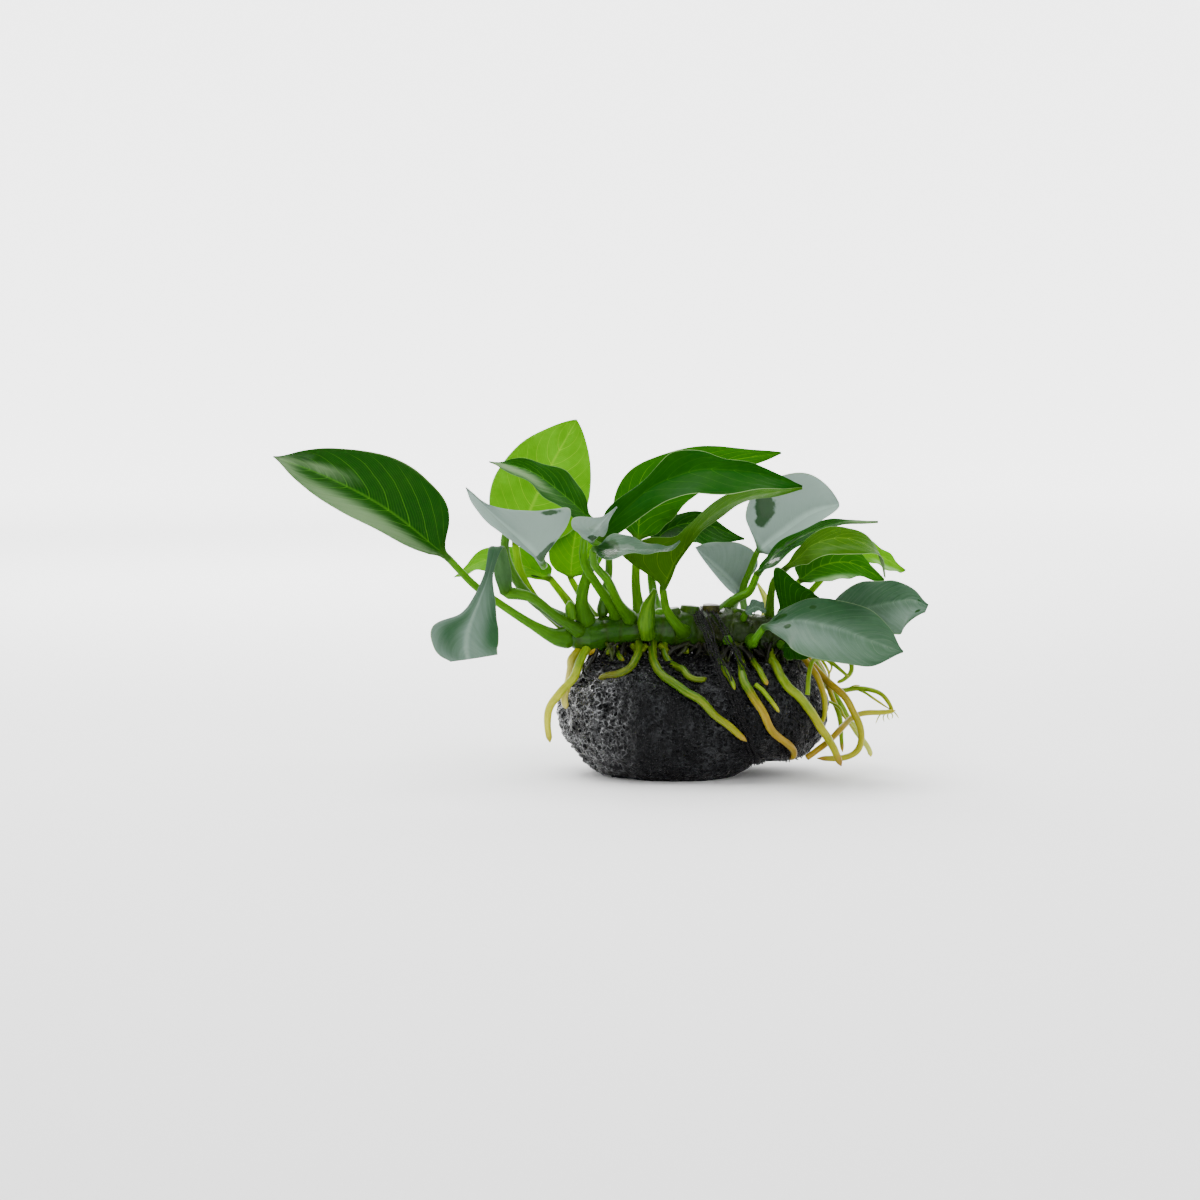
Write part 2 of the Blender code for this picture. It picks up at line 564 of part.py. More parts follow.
def blade_ring(leaf, place, line, right, t, stalk_radius):
    """The eight points around the blade at t: edge, upper side, edge, under side."""
    up = right.cross(line)
    thick = BLADE_HALF_THICKNESS * (1 - 0.5 * t)
    halves = []
    for sign, half, fold in zip((1, -1), leaf.half, leaf.fold):
        width = max(half_width(leaf, half, t), stalk_radius * (1 - 4 * t), TIP_HALF_WIDTH)
        turn = math.radians(fold) * min(1.0, t / FOLD_STARTS)
        out = right * sign * math.cos(turn) + up * math.sin(turn)
        lift = up * math.cos(turn) - right * sign * math.sin(turn)
        halves.append((place + out * width, place + out * width * 0.5, lift))
    (right_edge, right_mid, right_lift), (left_edge, left_mid, left_lift) = halves
    return [
        right_edge,
        right_mid + right_lift * thick,
        place + up * thick,
        left_mid + left_lift * thick,
        left_edge,
        left_mid - left_lift * thick,
        place - up * (thick + MIDRIB_DEPTH * (1 - t)),
        right_mid - right_lift * thick,
    ]


def leaf_rings(leaf):
    """Rings for the stalk and then for the blade, as one skin."""
    blade = smooth(leaf.blade, BLADE_SAMPLES)
    lines = directions(blade)
    sides = [Vector(s) for s in leaf.side]
    across = square_to(read_at(sides, 0), lines[0])
    rings = []
    for t in BLADE_STATIONS:
        i = round(t * (len(blade) - 1))
        right = square_to(read_at(sides, t), lines[i])
        rings.append(blade_ring(leaf, blade[i], lines[i], right, t, leaf.radii[-1]))
    count = len(leaf.stalk)
    stalk = smooth(leaf.stalk, count)
    stalk_lines = directions(stalk)
    stalk_lines[-1] = lines[0]
    for i in reversed(range(count)):
        across = square_to(across, stalk_lines[i])
        up = across.cross(stalk_lines[i])
        radius = read_at(leaf.radii, i / (count - 1))
        turns = [2 * math.pi * k / RING for k in range(RING)]
        rings.insert(
            0, [stalk[i] + (across * math.cos(a) + up * math.sin(a)) * radius for a in turns]
        )
    return rings


def cut_clear(piece, cutter):
    """Cuts a piece where it enters the fatter copy of what it grows from."""
    cut = piece.modifiers.new("clear of the rhizome", "BOOLEAN")
    cut.operation = "DIFFERENCE"
    cut.solver = "EXACT"
    cut.object = cutter


def facing_out(piece):
    """Turns the faces of a closed mesh outwards."""
    shape = bmesh.new()
    shape.from_mesh(piece.data)
    bmesh.ops.recalc_face_normals(shape, faces=shape.faces)
    if shape.calc_volume(signed=True) < 0:
        bmesh.ops.reverse_faces(shape, faces=shape.faces)
    shape.to_mesh(piece.data)
    shape.free()


def make_leaves(cutter):
    for leaf in LEAVES:
        made = loft(leaf.name, leaf_rings(leaf), leaf.tone)
        facing_out(made)
        cut_clear(made, cutter)


def make_rolls(cutter):
    for name, finish, along in ROLLS:
        count = 2 * len(along)
        places = smooth([place for place, _ in along], count)
        radii = [read_at([r for _, r in along], i / (count - 1)) for i in range(count)]
        made = loft(name, round_rings(places, radii, RING), finish)
        facing_out(made)
        cut_clear(made, cutter)


def make_roots(tree, cutter):
    """Each root tapers to its tip and keeps clear of the stone."""
    made = []
    for name, radius, route in ROOTS:
        count = len(route) + 1
        places = smooth([on_stone(tree, place, radius) for place in route], count)
        radii = [radius * (1 - ROOT_TAPER * (i / (count - 1)) ** 3) for i in range(count)]
        places = push_off(tree, places, [r + ROOT_GAP for r in radii])
        root = loft(name, round_rings(places, radii, ROOT_SIDES), "root")
        facing_out(root)
        cut_clear(root, cutter)
        made.append(root)
    return made


def make_threads(bodies):
    """Loops drawn tight around the bodies, each in a plane of its own."""
    bodies = list(bodies)
    for name, place, normal, outside in THREADS:
        place, normal = Vector(place), Vector(normal).normalized()
        across = square_to(Vector((0, 1, 0)), normal)
        up = normal.cross(across)
        flat = []
        for body in bodies:
            if body.name in outside:
                continue
            shape = bmesh.new()
            shape.from_mesh(body.data)
            cut = bmesh.ops.bisect_plane(
                shape, geom=shape.verts[:] + shape.edges[:] + shape.faces[:],
                plane_co=place * MM, plane_no=normal,
            )
            for item in cut["geom_cut"]:
                if isinstance(item, bmesh.types.BMVert):
                    away = item.co / MM - place
                    flat.append(Vector((away.dot(across), away.dot(up))))
            shape.free()
        hull = [flat[k] for k in convex_hull_2d(flat)]
        middle = sum(hull, Vector((0, 0))) / len(hull)
        route = even_loop([h + (h - middle).normalized() * THREAD_CLEARANCE for h in hull])
        line = [place + across * p.x + up * p.y for p in route]
        thread = loft(
            name, round_rings(line, [THREAD_RADIUS] * len(line), THREAD_SIDES, closed=True),
            "thread", closed=True,
        )
        facing_out(thread)
        bodies.append(thread)


def even_loop(corners):
    """Places along a closed line of corners, neither far apart nor crowded."""
    made = []
    for i, corner in enumerate(corners):
        after = corners[(i + 1) % len(corners)]
        if made and (corner - made[-1]).length < THREAD_STEP / 4:
            continue
        parts = max(1, round((after - corner).length / THREAD_STEP))
        made += [corner.lerp(after, k / parts) for k in range(parts)]
    return made


def build():
    clear_scene()
    places, faces = stone_points()
    stone = add_object("stone", places, faces, "stone")
    facing_out(stone)
    tree = BVHTree.FromPolygons(places, faces)
    rhizome = make_rhizome(tree, "rhizome", "rhizome")
    facing_out(rhizome)
    room = make_rhizome(tree, "room_for_the_rhizome", "rhizome", extra=GAP)
    facing_out(room)
    room.hide_render = True
    room.display_type = "WIRE"
    make_leaves(room)
    make_rolls(room)
    roots = make_roots(tree, room)
    make_threads([stone, rhizome] + roots)


build()
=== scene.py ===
# %% [markdown]
# # An anubias tied to a lava stone
#
# Anubias is an aquarium plant that grows on stone and wood. A thick creeping stem, the rhizome, lies
# on the stone. Leathery leaves rise from it, and roots hang down from it and feel their way over the
# stone. A dark thread ties the plant on until the roots hold by themselves.
#
# The frame brings in the plain solids of every part, at real size and in place. This lesson dresses
# them: each part gets a finer mesh of the same form and a finish of its own. Places and sizes are
# written in millimetres and turned into metres when a mesh is made.

# %% The frame and the tools
import math
import random
from collections import namedtuple

import bmesh
import bpy
import numpy as np
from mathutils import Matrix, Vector, noise
from mathutils.bvhtree import BVHTree
from mathutils.geometry import convex_hull_2d


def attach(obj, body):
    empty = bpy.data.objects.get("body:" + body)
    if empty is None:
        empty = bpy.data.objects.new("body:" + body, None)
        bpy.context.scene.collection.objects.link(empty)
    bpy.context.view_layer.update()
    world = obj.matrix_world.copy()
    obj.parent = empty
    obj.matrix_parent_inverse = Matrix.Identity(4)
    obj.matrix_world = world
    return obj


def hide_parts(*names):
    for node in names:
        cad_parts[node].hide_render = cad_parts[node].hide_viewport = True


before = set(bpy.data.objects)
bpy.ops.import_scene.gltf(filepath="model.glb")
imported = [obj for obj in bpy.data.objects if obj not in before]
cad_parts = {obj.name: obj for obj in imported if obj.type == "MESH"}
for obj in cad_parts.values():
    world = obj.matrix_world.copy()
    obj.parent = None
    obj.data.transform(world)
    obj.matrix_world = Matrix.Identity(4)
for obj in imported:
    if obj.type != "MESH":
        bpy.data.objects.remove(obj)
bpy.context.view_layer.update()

MM = 0.001


def put_in_scene(name, data):
    """A new object of the scene for a mesh, a lamp or a camera."""
    made = bpy.data.objects.new(name, data)
    bpy.context.scene.collection.objects.link(made)
    return made


print("solids in the frame:", len(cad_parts))

# %% [markdown]
# ## Camera
#
# The picture was taken from far away with a long lens, a little above the plant's middle. A long lens
# keeps near and far leaves at almost the same scale, so the outline of each leaf can be trusted.

# %% Camera
AIM = Vector((-33.6, 0, 60.9)) * MM
CAMERA_DISTANCE = 1.167
CAMERA_RISE = math.radians(5.5)

camera = put_in_scene("camera", bpy.data.cameras.new("camera"))
camera.data.lens = 100
camera.data.sensor_width = 36
camera.location = AIM + Vector((0, -math.cos(CAMERA_RISE), math.sin(CAMERA_RISE))) * CAMERA_DISTANCE
camera.rotation_euler = (math.pi / 2 - CAMERA_RISE, 0, 0)
bpy.context.scene.camera = camera
print("camera stands", round(camera.location.z, 3), "m up")

# %% [markdown]
# ## Light and backdrop
#
# Waxy leaves show their form by what they mirror. A big soft light overhead gives a pale sheen on the
# leaves that face up, a second one behind the plant shines through the thin young leaves, and only a
# weak one stands in front, so that the colours stay deep. Much of that sheen is also painted into the
# leaves' colour, as the pale bloom. The floor runs up into a round white wall without an edge, and the
# wall behind the plant glows brightest.

# %% Light and backdrop
def soft_light(name, place, aim, size, watts):
    """A square soft light that looks at a point; places in metres."""
    lamp = bpy.data.lights.new(name, "AREA")
    lamp.size = size
    lamp.energy = watts
    holder = put_in_scene(name, lamp)
    holder.location = place
    holder.rotation_euler = (Vector(aim) - Vector(place)).to_track_quat("-Z", "Y").to_euler()


soft_light("overhead light", (-0.05, 0.0, 0.95), (0, 0, 0.05), 0.9, 17)
soft_light("light behind", (-0.25, 0.75, 0.6), (0, 0, 0.08), 0.6, 9)
soft_light("light in front", (0.5, -1.0, 0.6), (0, 0, 0.05), 0.5, 2)

world = bpy.data.worlds.new("pale room")
bpy.context.scene.world = world
world.use_nodes = True
room = world.node_tree.nodes["Background"].inputs
room["Color"].default_value = (1, 1, 1, 1)
room["Strength"].default_value = 0.6


def backdrop_mesh(flat, bend, height, segments=96):
    """A floor disc that bends up into a round wall; sizes in metres."""
    profile = [(flat * k / 4, 0.0) for k in range(1, 5)]
    for k in range(1, 13):
        a = math.pi / 2 * k / 12
        profile.append((flat + bend * math.sin(a), bend * (1 - math.cos(a))))
    profile.append((flat + bend, height))
    points = [(0, 0, 0)]
    for radius, z in profile:
        for k in range(segments):
            a = 2 * math.pi * k / segments
            points.append((radius * math.cos(a), radius * math.sin(a), z))
    faces = [(0, 1 + k, 1 + (k + 1) % segments) for k in range(segments)]
    for ring in range(len(profile) - 1):
        here, there = 1 + ring * segments, 1 + (ring + 1) * segments
        for k in range(segments):
            after = (k + 1) % segments
            faces.append((here + k, there + k, there + after, here + after))
    mesh = bpy.data.meshes.new("backdrop")
    mesh.from_pydata(points, [], faces)
    mesh.shade_smooth()
    return mesh


backdrop = put_in_scene("backdrop", backdrop_mesh(flat=1.6, bend=1.4, height=3.0))
print("backdrop faces:", len(backdrop.data.polygons))

# %% [markdown]
# ## Shader helpers
#
# A finish is a small network of nodes. These helpers keep the networks readable: one adds a node and
# plugs values or other nodes into it, the others are the few sums that come back in every finish.

# %% Shader helpers
def feed(tree, made, inputs):
    """Sets a node's inputs: a socket is linked, and anything else is the input's own value."""
    for socket, value in inputs.items():
        if isinstance(value, bpy.types.NodeSocket):
            tree.links.new(value, made.inputs[socket])
        else:
            made.inputs[socket].default_value = value


def node(tree, kind, inputs=None, **settings):
    """Adds a shader node; inputs maps a socket's name or number to a value or another socket."""
    made = tree.nodes.new("ShaderNode" + kind)
    for name, value in settings.items():
        setattr(made, name, value)
    feed(tree, made, inputs or {})
    return made


def maths(tree, operation, *values):
    """One sum on numbers or sockets, by the name that Blender gives it."""
    return node(tree, "Math", dict(enumerate(values)), operation=operation).outputs[0]


def plus(tree, a, b):
    return maths(tree, "ADD", a, b)


def minus(tree, a, b):
    return maths(tree, "SUBTRACT", a, b)


def times(tree, a, b):
    return maths(tree, "MULTIPLY", a, b)


def soft_step(tree, value, low, high):
    """0 below low, 1 above high, and a smooth rise between them."""
    made = node(tree, "MapRange", {"Value": value, "From Min": low, "From Max": high},
                interpolation_type="SMOOTHSTEP")
    return made.outputs["Result"]


def opaque(colour):
    """A colour of three numbers with the fourth that Blender asks for; a socket stays as it is."""
    return colour if isinstance(colour, bpy.types.NodeSocket) else (*colour, 1)


def blend(tree, share, first, second):
    """The first colour where share is 0 and the second where it is 1."""
    # on a colour mix, the share is input 0 and the two colours are inputs 6 and 7
    made = node(tree, "Mix", {0: share, 6: opaque(first), 7: opaque(second)}, data_type="RGBA")
    return made.outputs[2]


def new_group(name, inputs, outputs):
    """An empty node group with named sockets: returns it, its inputs and its outputs."""
    group = bpy.data.node_groups.new(name, "ShaderNodeTree")
    for label, kind, value in inputs:
        socket = group.interface.new_socket(label, in_out="INPUT", socket_type="NodeSocket" + kind)
        socket.default_value = value
    for label, kind in outputs:
        group.interface.new_socket(label, in_out="OUTPUT", socket_type="NodeSocket" + kind)
    given = group.nodes.new("NodeGroupInput")
    result = group.nodes.new("NodeGroupOutput")
    return group, given.outputs, result.inputs


def give(group, result, outputs):
    """Links what a group has worked out to its outputs."""
    for label, socket in outputs.items():
        group.links.new(socket, result[label])


def use_group(tree, group, inputs):
    """Places a node group in a material or in another group."""
    return node(tree, "Group", inputs, node_tree=group).outputs


def grain(tree, scale, detail, roughness=0.55, vector=None):
    """Noise in the object's own space, around 0.5."""
    if vector is None:
        vector = node(tree, "TexCoord").outputs["Object"]
    return node(tree, "TexNoise", {"Vector": vector, "Scale": scale, "Detail": detail,
                                   "Roughness": roughness}).outputs["Fac"]


def new_finish(name):
    """A new material: returns it, its node tree and its main shader."""
    made = bpy.data.materials.new(name)
    made.use_nodes = True
    return made, made.node_tree, made.node_tree.nodes["Principled BSDF"]


def painted_values(tree, label):
    """The three numbers that a mesh carries at each point under this label."""
    layer = node(tree, "Attribute", attribute_name=label)
    return node(tree, "SeparateXYZ", {0: layer.outputs["Vector"]}).outputs


def relief(tree, height, strength, distance):
    """The normal of a surface with this height; distance is in metres."""
    made = node(tree, "Bump", {"Height": height, "Strength": strength, "Distance": distance})
    return made.outputs["Normal"]


def let_light_through(tree, shader, colour, share):
    """Mixes in the light that a thin leaf lets through from behind."""
    through = node(tree, "BsdfTranslucent", {"Color": colour})
    both = node(tree, "MixShader", {0: share, 1: shader.outputs[0], 2: through.outputs[0]})
    tree.links.new(both.outputs[0], tree.nodes["Material Output"].inputs["Surface"])


print("helpers ready")

# %% [markdown]
# ## Shared effects
#
# Four effects come back in several finishes, so each is a node group with its own values wherever it
# is placed. *Mottle* varies a colour in soft patches. *Ragged edge* turns a soft painted mark into a
# patch with an uneven border, as a glossy spot or a bruise has. *Veins* draws a leaf's side veins from
# its own coordinates. *Fibres* draws fine streaks along a stalk or root.

# %% Mottle
def build_mottle():
    """Varies a colour in coarse and fine patches, and its hue a little with them."""
    group, given, result = new_group(
        "mottle",
        [("Colour", "Color", (0.5, 0.5, 0.5, 1)), ("Size", "Float", 150.0), ("Amount", "Float", 0.2)],
        [("Colour", "Color")],
    )
    coarse = grain(group, given["Size"], 3)
    fine = grain(group, times(group, given["Size"], 7.0), 3)
    both = plus(group, times(group, coarse, 0.7), times(group, fine, 0.3))
    spread = times(group, minus(group, both, 0.5), given["Amount"])
    value = plus(group, times(group, spread, 4.0), 1.0)
    hue = minus(group, 0.5, times(group, spread, 0.12))
    shifted = node(group, "HueSaturation", {"Hue": hue, "Value": value, "Color": given["Colour"]})
    give(group, result, {"Colour": shifted.outputs["Color"]})
    return group


MOTTLE = build_mottle()


def mottled(tree, colour, size, amount):
    """The colour, varied in soft patches."""
    return use_group(tree, MOTTLE, {"Colour": colour, "Size": size, "Amount": amount})["Colour"]


print("group:", MOTTLE.name)

# %% Ragged edge
def build_ragged_edge():
    """Turns a soft mark into a mask with an uneven border."""
    group, given, result = new_group(
        "ragged edge",
        [("Mark", "Float", 0.0), ("Size", "Float", 400.0), ("Raggedness", "Float", 0.5),
         ("Softness", "Float", 0.15)],
        [("Mask", "Float")],
    )
    uneven = times(group, minus(group, grain(group, given["Size"], 5), 0.5), given["Raggedness"])
    mark = plus(group, given["Mark"], uneven)
    low = minus(group, 0.5, given["Softness"])
    high = plus(group, 0.5, given["Softness"])
    # a mark of nothing stays nothing, however uneven the edge is
    held = times(group, soft_step(group, mark, low, high), soft_step(group, given["Mark"], 0.02, 0.2))
    give(group, result, {"Mask": held})
    return group


RAGGED_EDGE = build_ragged_edge()
print("group:", RAGGED_EDGE.name)

# %% Veins
def build_veins():
    """The lines on a blade, from its own coordinates along and across."""
    group, given, result = new_group(
        "leaf veins",
        [("Along", "Float", 0.0), ("Across", "Float", 0.0), ("Count", "Float", 9.0),
         ("Slant", "Float", 0.35), ("Width", "Float", 0.05)],
        [("Veins", "Float"), ("Fine veins", "Float"), ("Midrib", "Float"), ("Rim", "Float"),
         ("Streaks", "Float")],
    )
    side = maths(group, "ABSOLUTE", given["Across"])
    swept = times(group, maths(group, "POWER", side, 1.35), given["Slant"])
    wander = times(group, minus(group, grain(group, 60, 2), 0.5), 0.06)
    place = plus(group, minus(group, given["Along"], swept), wander)
    counted = times(group, place, given["Count"])
    away = maths(group, "PINGPONG", counted, 0.5)
    vein = minus(group, 1.0, soft_step(group, away, 0.0, given["Width"]))
    fade = minus(group, 1.0, soft_step(group, side, 0.6, 0.98))
    fine_away = maths(group, "PINGPONG", times(group, counted, 6.0), 0.5)
    where = node(group, "CombineXYZ", {"X": times(group, place, 26.0),
                                       "Y": times(group, given["Across"], 1.6), "Z": 0.0})
    give(group, result, {
        "Veins": times(group, vein, fade),
        "Fine veins": soft_step(group, fine_away, 0.42, 0.08),
        "Midrib": minus(group, 1.0, soft_step(group, side, 0.005, 0.05)),
        "Rim": soft_step(group, side, 0.965, 0.99),
        "Streaks": grain(group, 1.0, 4, 0.6, where.outputs["Vector"]),
    })
    return group


VEINS = build_veins()
print("group:", VEINS.name)

# %% Fibres
def build_fibres():
    """Fine streaks along a tube, from its length and turn."""
    group, given, result = new_group(
        "fibres",
        [("Length", "Float", 0.0), ("Turn", "Float", 0.0), ("Fineness", "Float", 6.0)],
        [("Streaks", "Float")],
    )
    ring_x = times(group, maths(group, "SINE", given["Turn"]), given["Fineness"])
    ring_y = times(group, maths(group, "COSINE", given["Turn"]), given["Fineness"])
    where = node(group, "CombineXYZ", {"X": ring_x, "Y": ring_y,
                                       "Z": times(group, given["Length"], 0.06)})
    streaks = grain(group, 1.0, 4, 0.6, where.outputs["Vector"])
    give(group, result, {"Streaks": soft_step(group, streaks, 0.35, 0.68)})
    return group


FIBRES = build_fibres()


def fibre_streaks(tree, run, turn, fineness):
    """Where the pale streaks along a stalk or root lie."""
    return use_group(tree, FIBRES, {"Length": run, "Turn": turn, "Fineness": fineness})["Streaks"]


print("group:", FIBRES.name)

# %% [markdown]
# ## Curves and tubes
#
# Leaves, stalks, roots and thread all follow a smooth line through a few listed places. The
# line is a Catmull-Rom curve, which passes through every one of them.

# %% Curves
def curve_between(a, b, c, d, t):
    """A place on the smooth curve from b to c, with a before them and d after them."""
    return 0.5 * (2 * b + (c - a) * t + (2 * a - 5 * b + 4 * c - d) * t**2
                  + (3 * b - a - 3 * c + d) * t**3)


def smooth(points, count, closed=False):
    """count places along a smooth curve through the points, at even steps of its parameter."""
    points = [Vector(p) for p in points]
    last = len(points) - 1
    spans = len(points) if closed else last
    made = []
    for step in range(count):
        place = spans * step / (count if closed else count - 1)
        i = min(int(place), spans - 1)
        t = place - i
        if closed:
            a, b, c, d = (points[(i + k) % len(points)] for k in (-1, 0, 1, 2))
        else:
            b, c = points[i], points[i + 1]
            a = points[i - 1] if i else b + (b - c)
            d = points[i + 2] if i + 2 <= last else c + (c - b)
        made.append(curve_between(a, b, c, d, t))
    return made


def read_at(values, t):
    """A value or vector read between evenly spaced ones, for t from 0 to 1."""
    if len(values) == 1:
        return values[0]
    place = min(max(t, 0.0), 1.0) * (len(values) - 1)
    i = min(int(place), len(values) - 2)
    return values[i] + (values[i + 1] - values[i]) * (place - i)


def read_smooth(values, t):
    """A number read along a smooth curve through evenly spaced ones, for t from 0 to 1."""
    place = t * (len(values) - 1)
    i = min(int(place), len(values) - 2)
    a, b, c, d = (values[min(max(i + k, 0), len(values) - 1)] for k in (-1, 0, 1, 2))
    return curve_between(a, b, c, d, place - i)


def tapered_line(rows, steps):
    """Places along a smooth curve, and the radius at each; a row is a place and its radius."""
    radii = [read_at([radius for _, radius in rows], i / (steps - 1)) for i in range(steps)]
    return smooth([place for place, _ in rows], steps), radii


def directions(points):
    """The way that a line of points runs at each of them."""
    last = len(points) - 1
    return [(points[min(i + 1, last)] - points[max(i - 1, 0)]).normalized() for i in range(last + 1)]


def square_to(vector, direction):
    """The unit part of a vector that is square to a direction."""
    return (vector - direction * vector.dot(direction)).normalized()


def ease(t, low, high):
    """A smooth rise from 0 to 1 between low and high."""
    t = min(max((t - low) / (high - low), 0.0), 1.0)
    return t * t * (3 - 2 * t)


def around(places, sides):
    """For each place of a line, a ring's turns and the way out at each, without a twist."""
    lines = directions(places)
    start = Vector((0, 1, 0)) if abs(lines[0].y) < 0.9 else Vector((1, 0, 0))
    across = square_to(start, lines[0])
    turns = [2 * math.pi * k / sides for k in range(sides)]
    for line in lines:
        across = square_to(across, line)
        up = line.cross(across)
        yield [(a, across * math.cos(a) + up * math.sin(a)) for a in turns]


print("curve helpers ready")

# %% A mesh from rings
def skin(name, rings, marks, closed=False):
    """A closed skin over rings of equal length. marks names what is painted on each point."""
    size = len(rings[0])
    points = [p * MM for ring in rings for p in ring]
    faces = []
    for i in range(len(rings) if closed else len(rings) - 1):
        here, there = i * size, (i + 1) % len(rings) * size
        for k in range(size):
            after = (k + 1) % size
            faces.append((here + k, here + after, there + after, there + k))
    if not closed:
        faces.append(tuple(reversed(range(size))))
        faces.append(tuple(range((len(rings) - 1) * size, len(rings) * size)))
    mesh = bpy.data.meshes.new(name)
    mesh.from_pydata(points, [], faces)
    for label, values in marks.items():
        flat = np.array([v for ring in values for v in ring], np.float32)
        kind = "FLOAT_VECTOR" if flat.ndim == 2 else "FLOAT"
        layer = mesh.attributes.new(label, kind, "POINT")
        layer.data.foreach_set("vector" if flat.ndim == 2 else "value", flat.ravel())
    shape = bmesh.new()
    shape.from_mesh(mesh)
    bmesh.ops.recalc_face_normals(shape, faces=shape.faces)
    if shape.calc_volume(signed=True) < 0:
        bmesh.ops.reverse_faces(shape, faces=shape.faces)
    shape.to_mesh(mesh)
    shape.free()
    mesh.shade_smooth()
    return put_in_scene(name, mesh)


def place_on_frame(piece, slot, *nodes):
    """The piece rides on the one body and stands for the solids that it replaces."""
    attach(piece, "root")
    if nodes:
        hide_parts(*nodes)


print("skin ready")

# %% [markdown]
# ## The leaves' finish
#
# Every leaf has the same build and its own look. Its mesh carries what the finish has to know at each
# point: how far along and across the blade it lies, whether it is on the upper face, and soft marks
# painted for the pale bloom, for dark bruised patches and for glossy spots. The pale bloom also paints
# in the sheen of mirrored light, and some dark marks are painted shade. The colours differ from leaf to
# leaf: old leaves are dark, young ones are bright and let light through, and some are grey with a waxy
# bloom and painted sheen.

# %% Leaf looks
Tone = namedtuple("Tone", "upper under vein stalk bloom glow rough")
TONES = {
    "deep": Tone((0.003, 0.04, 0.0001), (0.01, 0.07, 0.0003), (0.05, 0.2, 0.004),
                 (0.04, 0.14, 0.001), (0.12, 0.2, 0.09), 0.05, 0.36),
    "olive": Tone((0.022, 0.08, 0.0003), (0.032, 0.1, 0.0008), (0.1, 0.21, 0.01),
                  (0.035, 0.11, 0.001), (0.12, 0.2, 0.08), 0.1, 0.36),
    "fresh": Tone((0.01, 0.09, 0.0002), (0.028, 0.16, 0.0004), (0.11, 0.33, 0.004),
                  (0.08, 0.23, 0.002), (0.2, 0.36, 0.14), 0.25, 0.36),
    "bright": Tone((0.1, 0.33, 0.0004), (0.12, 0.36, 0.0006), (0.33, 0.58, 0.01),
                   (0.15, 0.32, 0.002), (0.3, 0.5, 0.2), 0.45, 0.38),
    # grey: leaves that mirror the light; their bluish colours and their bloom colour also paint that
    # sheen
    "grey": Tone((0.016, 0.055, 0.02), (0.04, 0.1, 0.03), (0.1, 0.18, 0.09),
                 (0.035, 0.12, 0.001), (0.19, 0.265, 0.225), 0.05, 0.34),
}
print("tones:", ", ".join(TONES))

# %% Blade and stalk colours
# dark patches: bruises, and painted shade where a dark mark stands for shade
BRUISE_AND_SHADE = (0.005, 0.035, 0.001)
# a pale margin: partly the leaf's own colour, partly a painted highlight along the edge
PALE_RIM_AND_EDGE_HIGHLIGHT = (0.3, 0.45, 0.18)
SHADED_STALK = (0.012, 0.05, 0.0004)


def lighter(colour, times_as_light):
    """The same colour, that many times as light."""
    return tuple(times_as_light * c for c in colour)


def bloom_and_sheen_mask(tree, bloom, streaks, veins):
    """Where the pale bloom and painted sheen lie: its soft painted mark, broken into streaks along the
    veins.
    """
    streaked = times(tree, minus(tree, streaks, 0.5), 0.12 + 0.4 * veins)
    return times(tree, soft_step(tree, plus(tree, bloom, streaked), 0.15, 0.95),
                 soft_step(tree, bloom, 0.02, 0.25))


def blade_colour(tree, tone, veins, rim, upper, across, lines, pale, bruise_and_shade):
    """The blade from its ground colour up: veins, bloom, bruises, midrib and thin margin.

    The bloom also paints sheen, some bruises are painted shade, and the thin margin is partly a painted
    highlight along the edge.
    """
    face = blend(tree, soft_step(tree, upper, 0.4, 0.6), tone.under, tone.upper)
    face = mottled(tree, face, 90.0, 0.2)
    face = blend(tree, times(tree, lines["Fine veins"], 0.1 * veins), face, tone.vein)
    face = blend(tree, times(tree, lines["Veins"], 0.6 * veins), face, tone.vein)
    # the bloom: a waxy bloom, with the pale sheen of mirrored light painted into it
    face = blend(tree, pale, face, tone.bloom)
    # painted sheen, paler still by the midrib
    by_midrib = times(tree, soft_step(tree, maths(tree, "ABSOLUTE", across), 0.14, 0.0), pale)
    face = blend(tree, times(tree, by_midrib, 0.5), face, lighter(tone.bloom, 1.8))
    # bruised patches, and painted shade where a dark mark stands for shade
    face = blend(tree, times(tree, bruise_and_shade, 0.9), face, BRUISE_AND_SHADE)
    face = blend(tree, times(tree, lines["Midrib"], 0.45 * veins), face, tone.vein)
    # thin pale margin, partly a painted edge highlight
    return blend(tree, times(tree, lines["Rim"], rim), face, PALE_RIM_AND_EDGE_HIGHLIGHT)


def stalk_colour(tree, tone, run, turn):
    """The stalk: streaked along its length, and darker at its foot, where it stands in shade."""
    fibres = fibre_streaks(tree, run, turn, 3.0)
    stalk = blend(tree, times(tree, fibres, 0.5), tone.stalk, lighter(tone.stalk, 1.9))
    stalk = mottled(tree, stalk, 60.0, 0.22)
    return blend(tree, times(tree, soft_step(tree, run, 46.0, 4.0), 0.7), stalk, SHADED_STALK)


print("leaf colours ready")

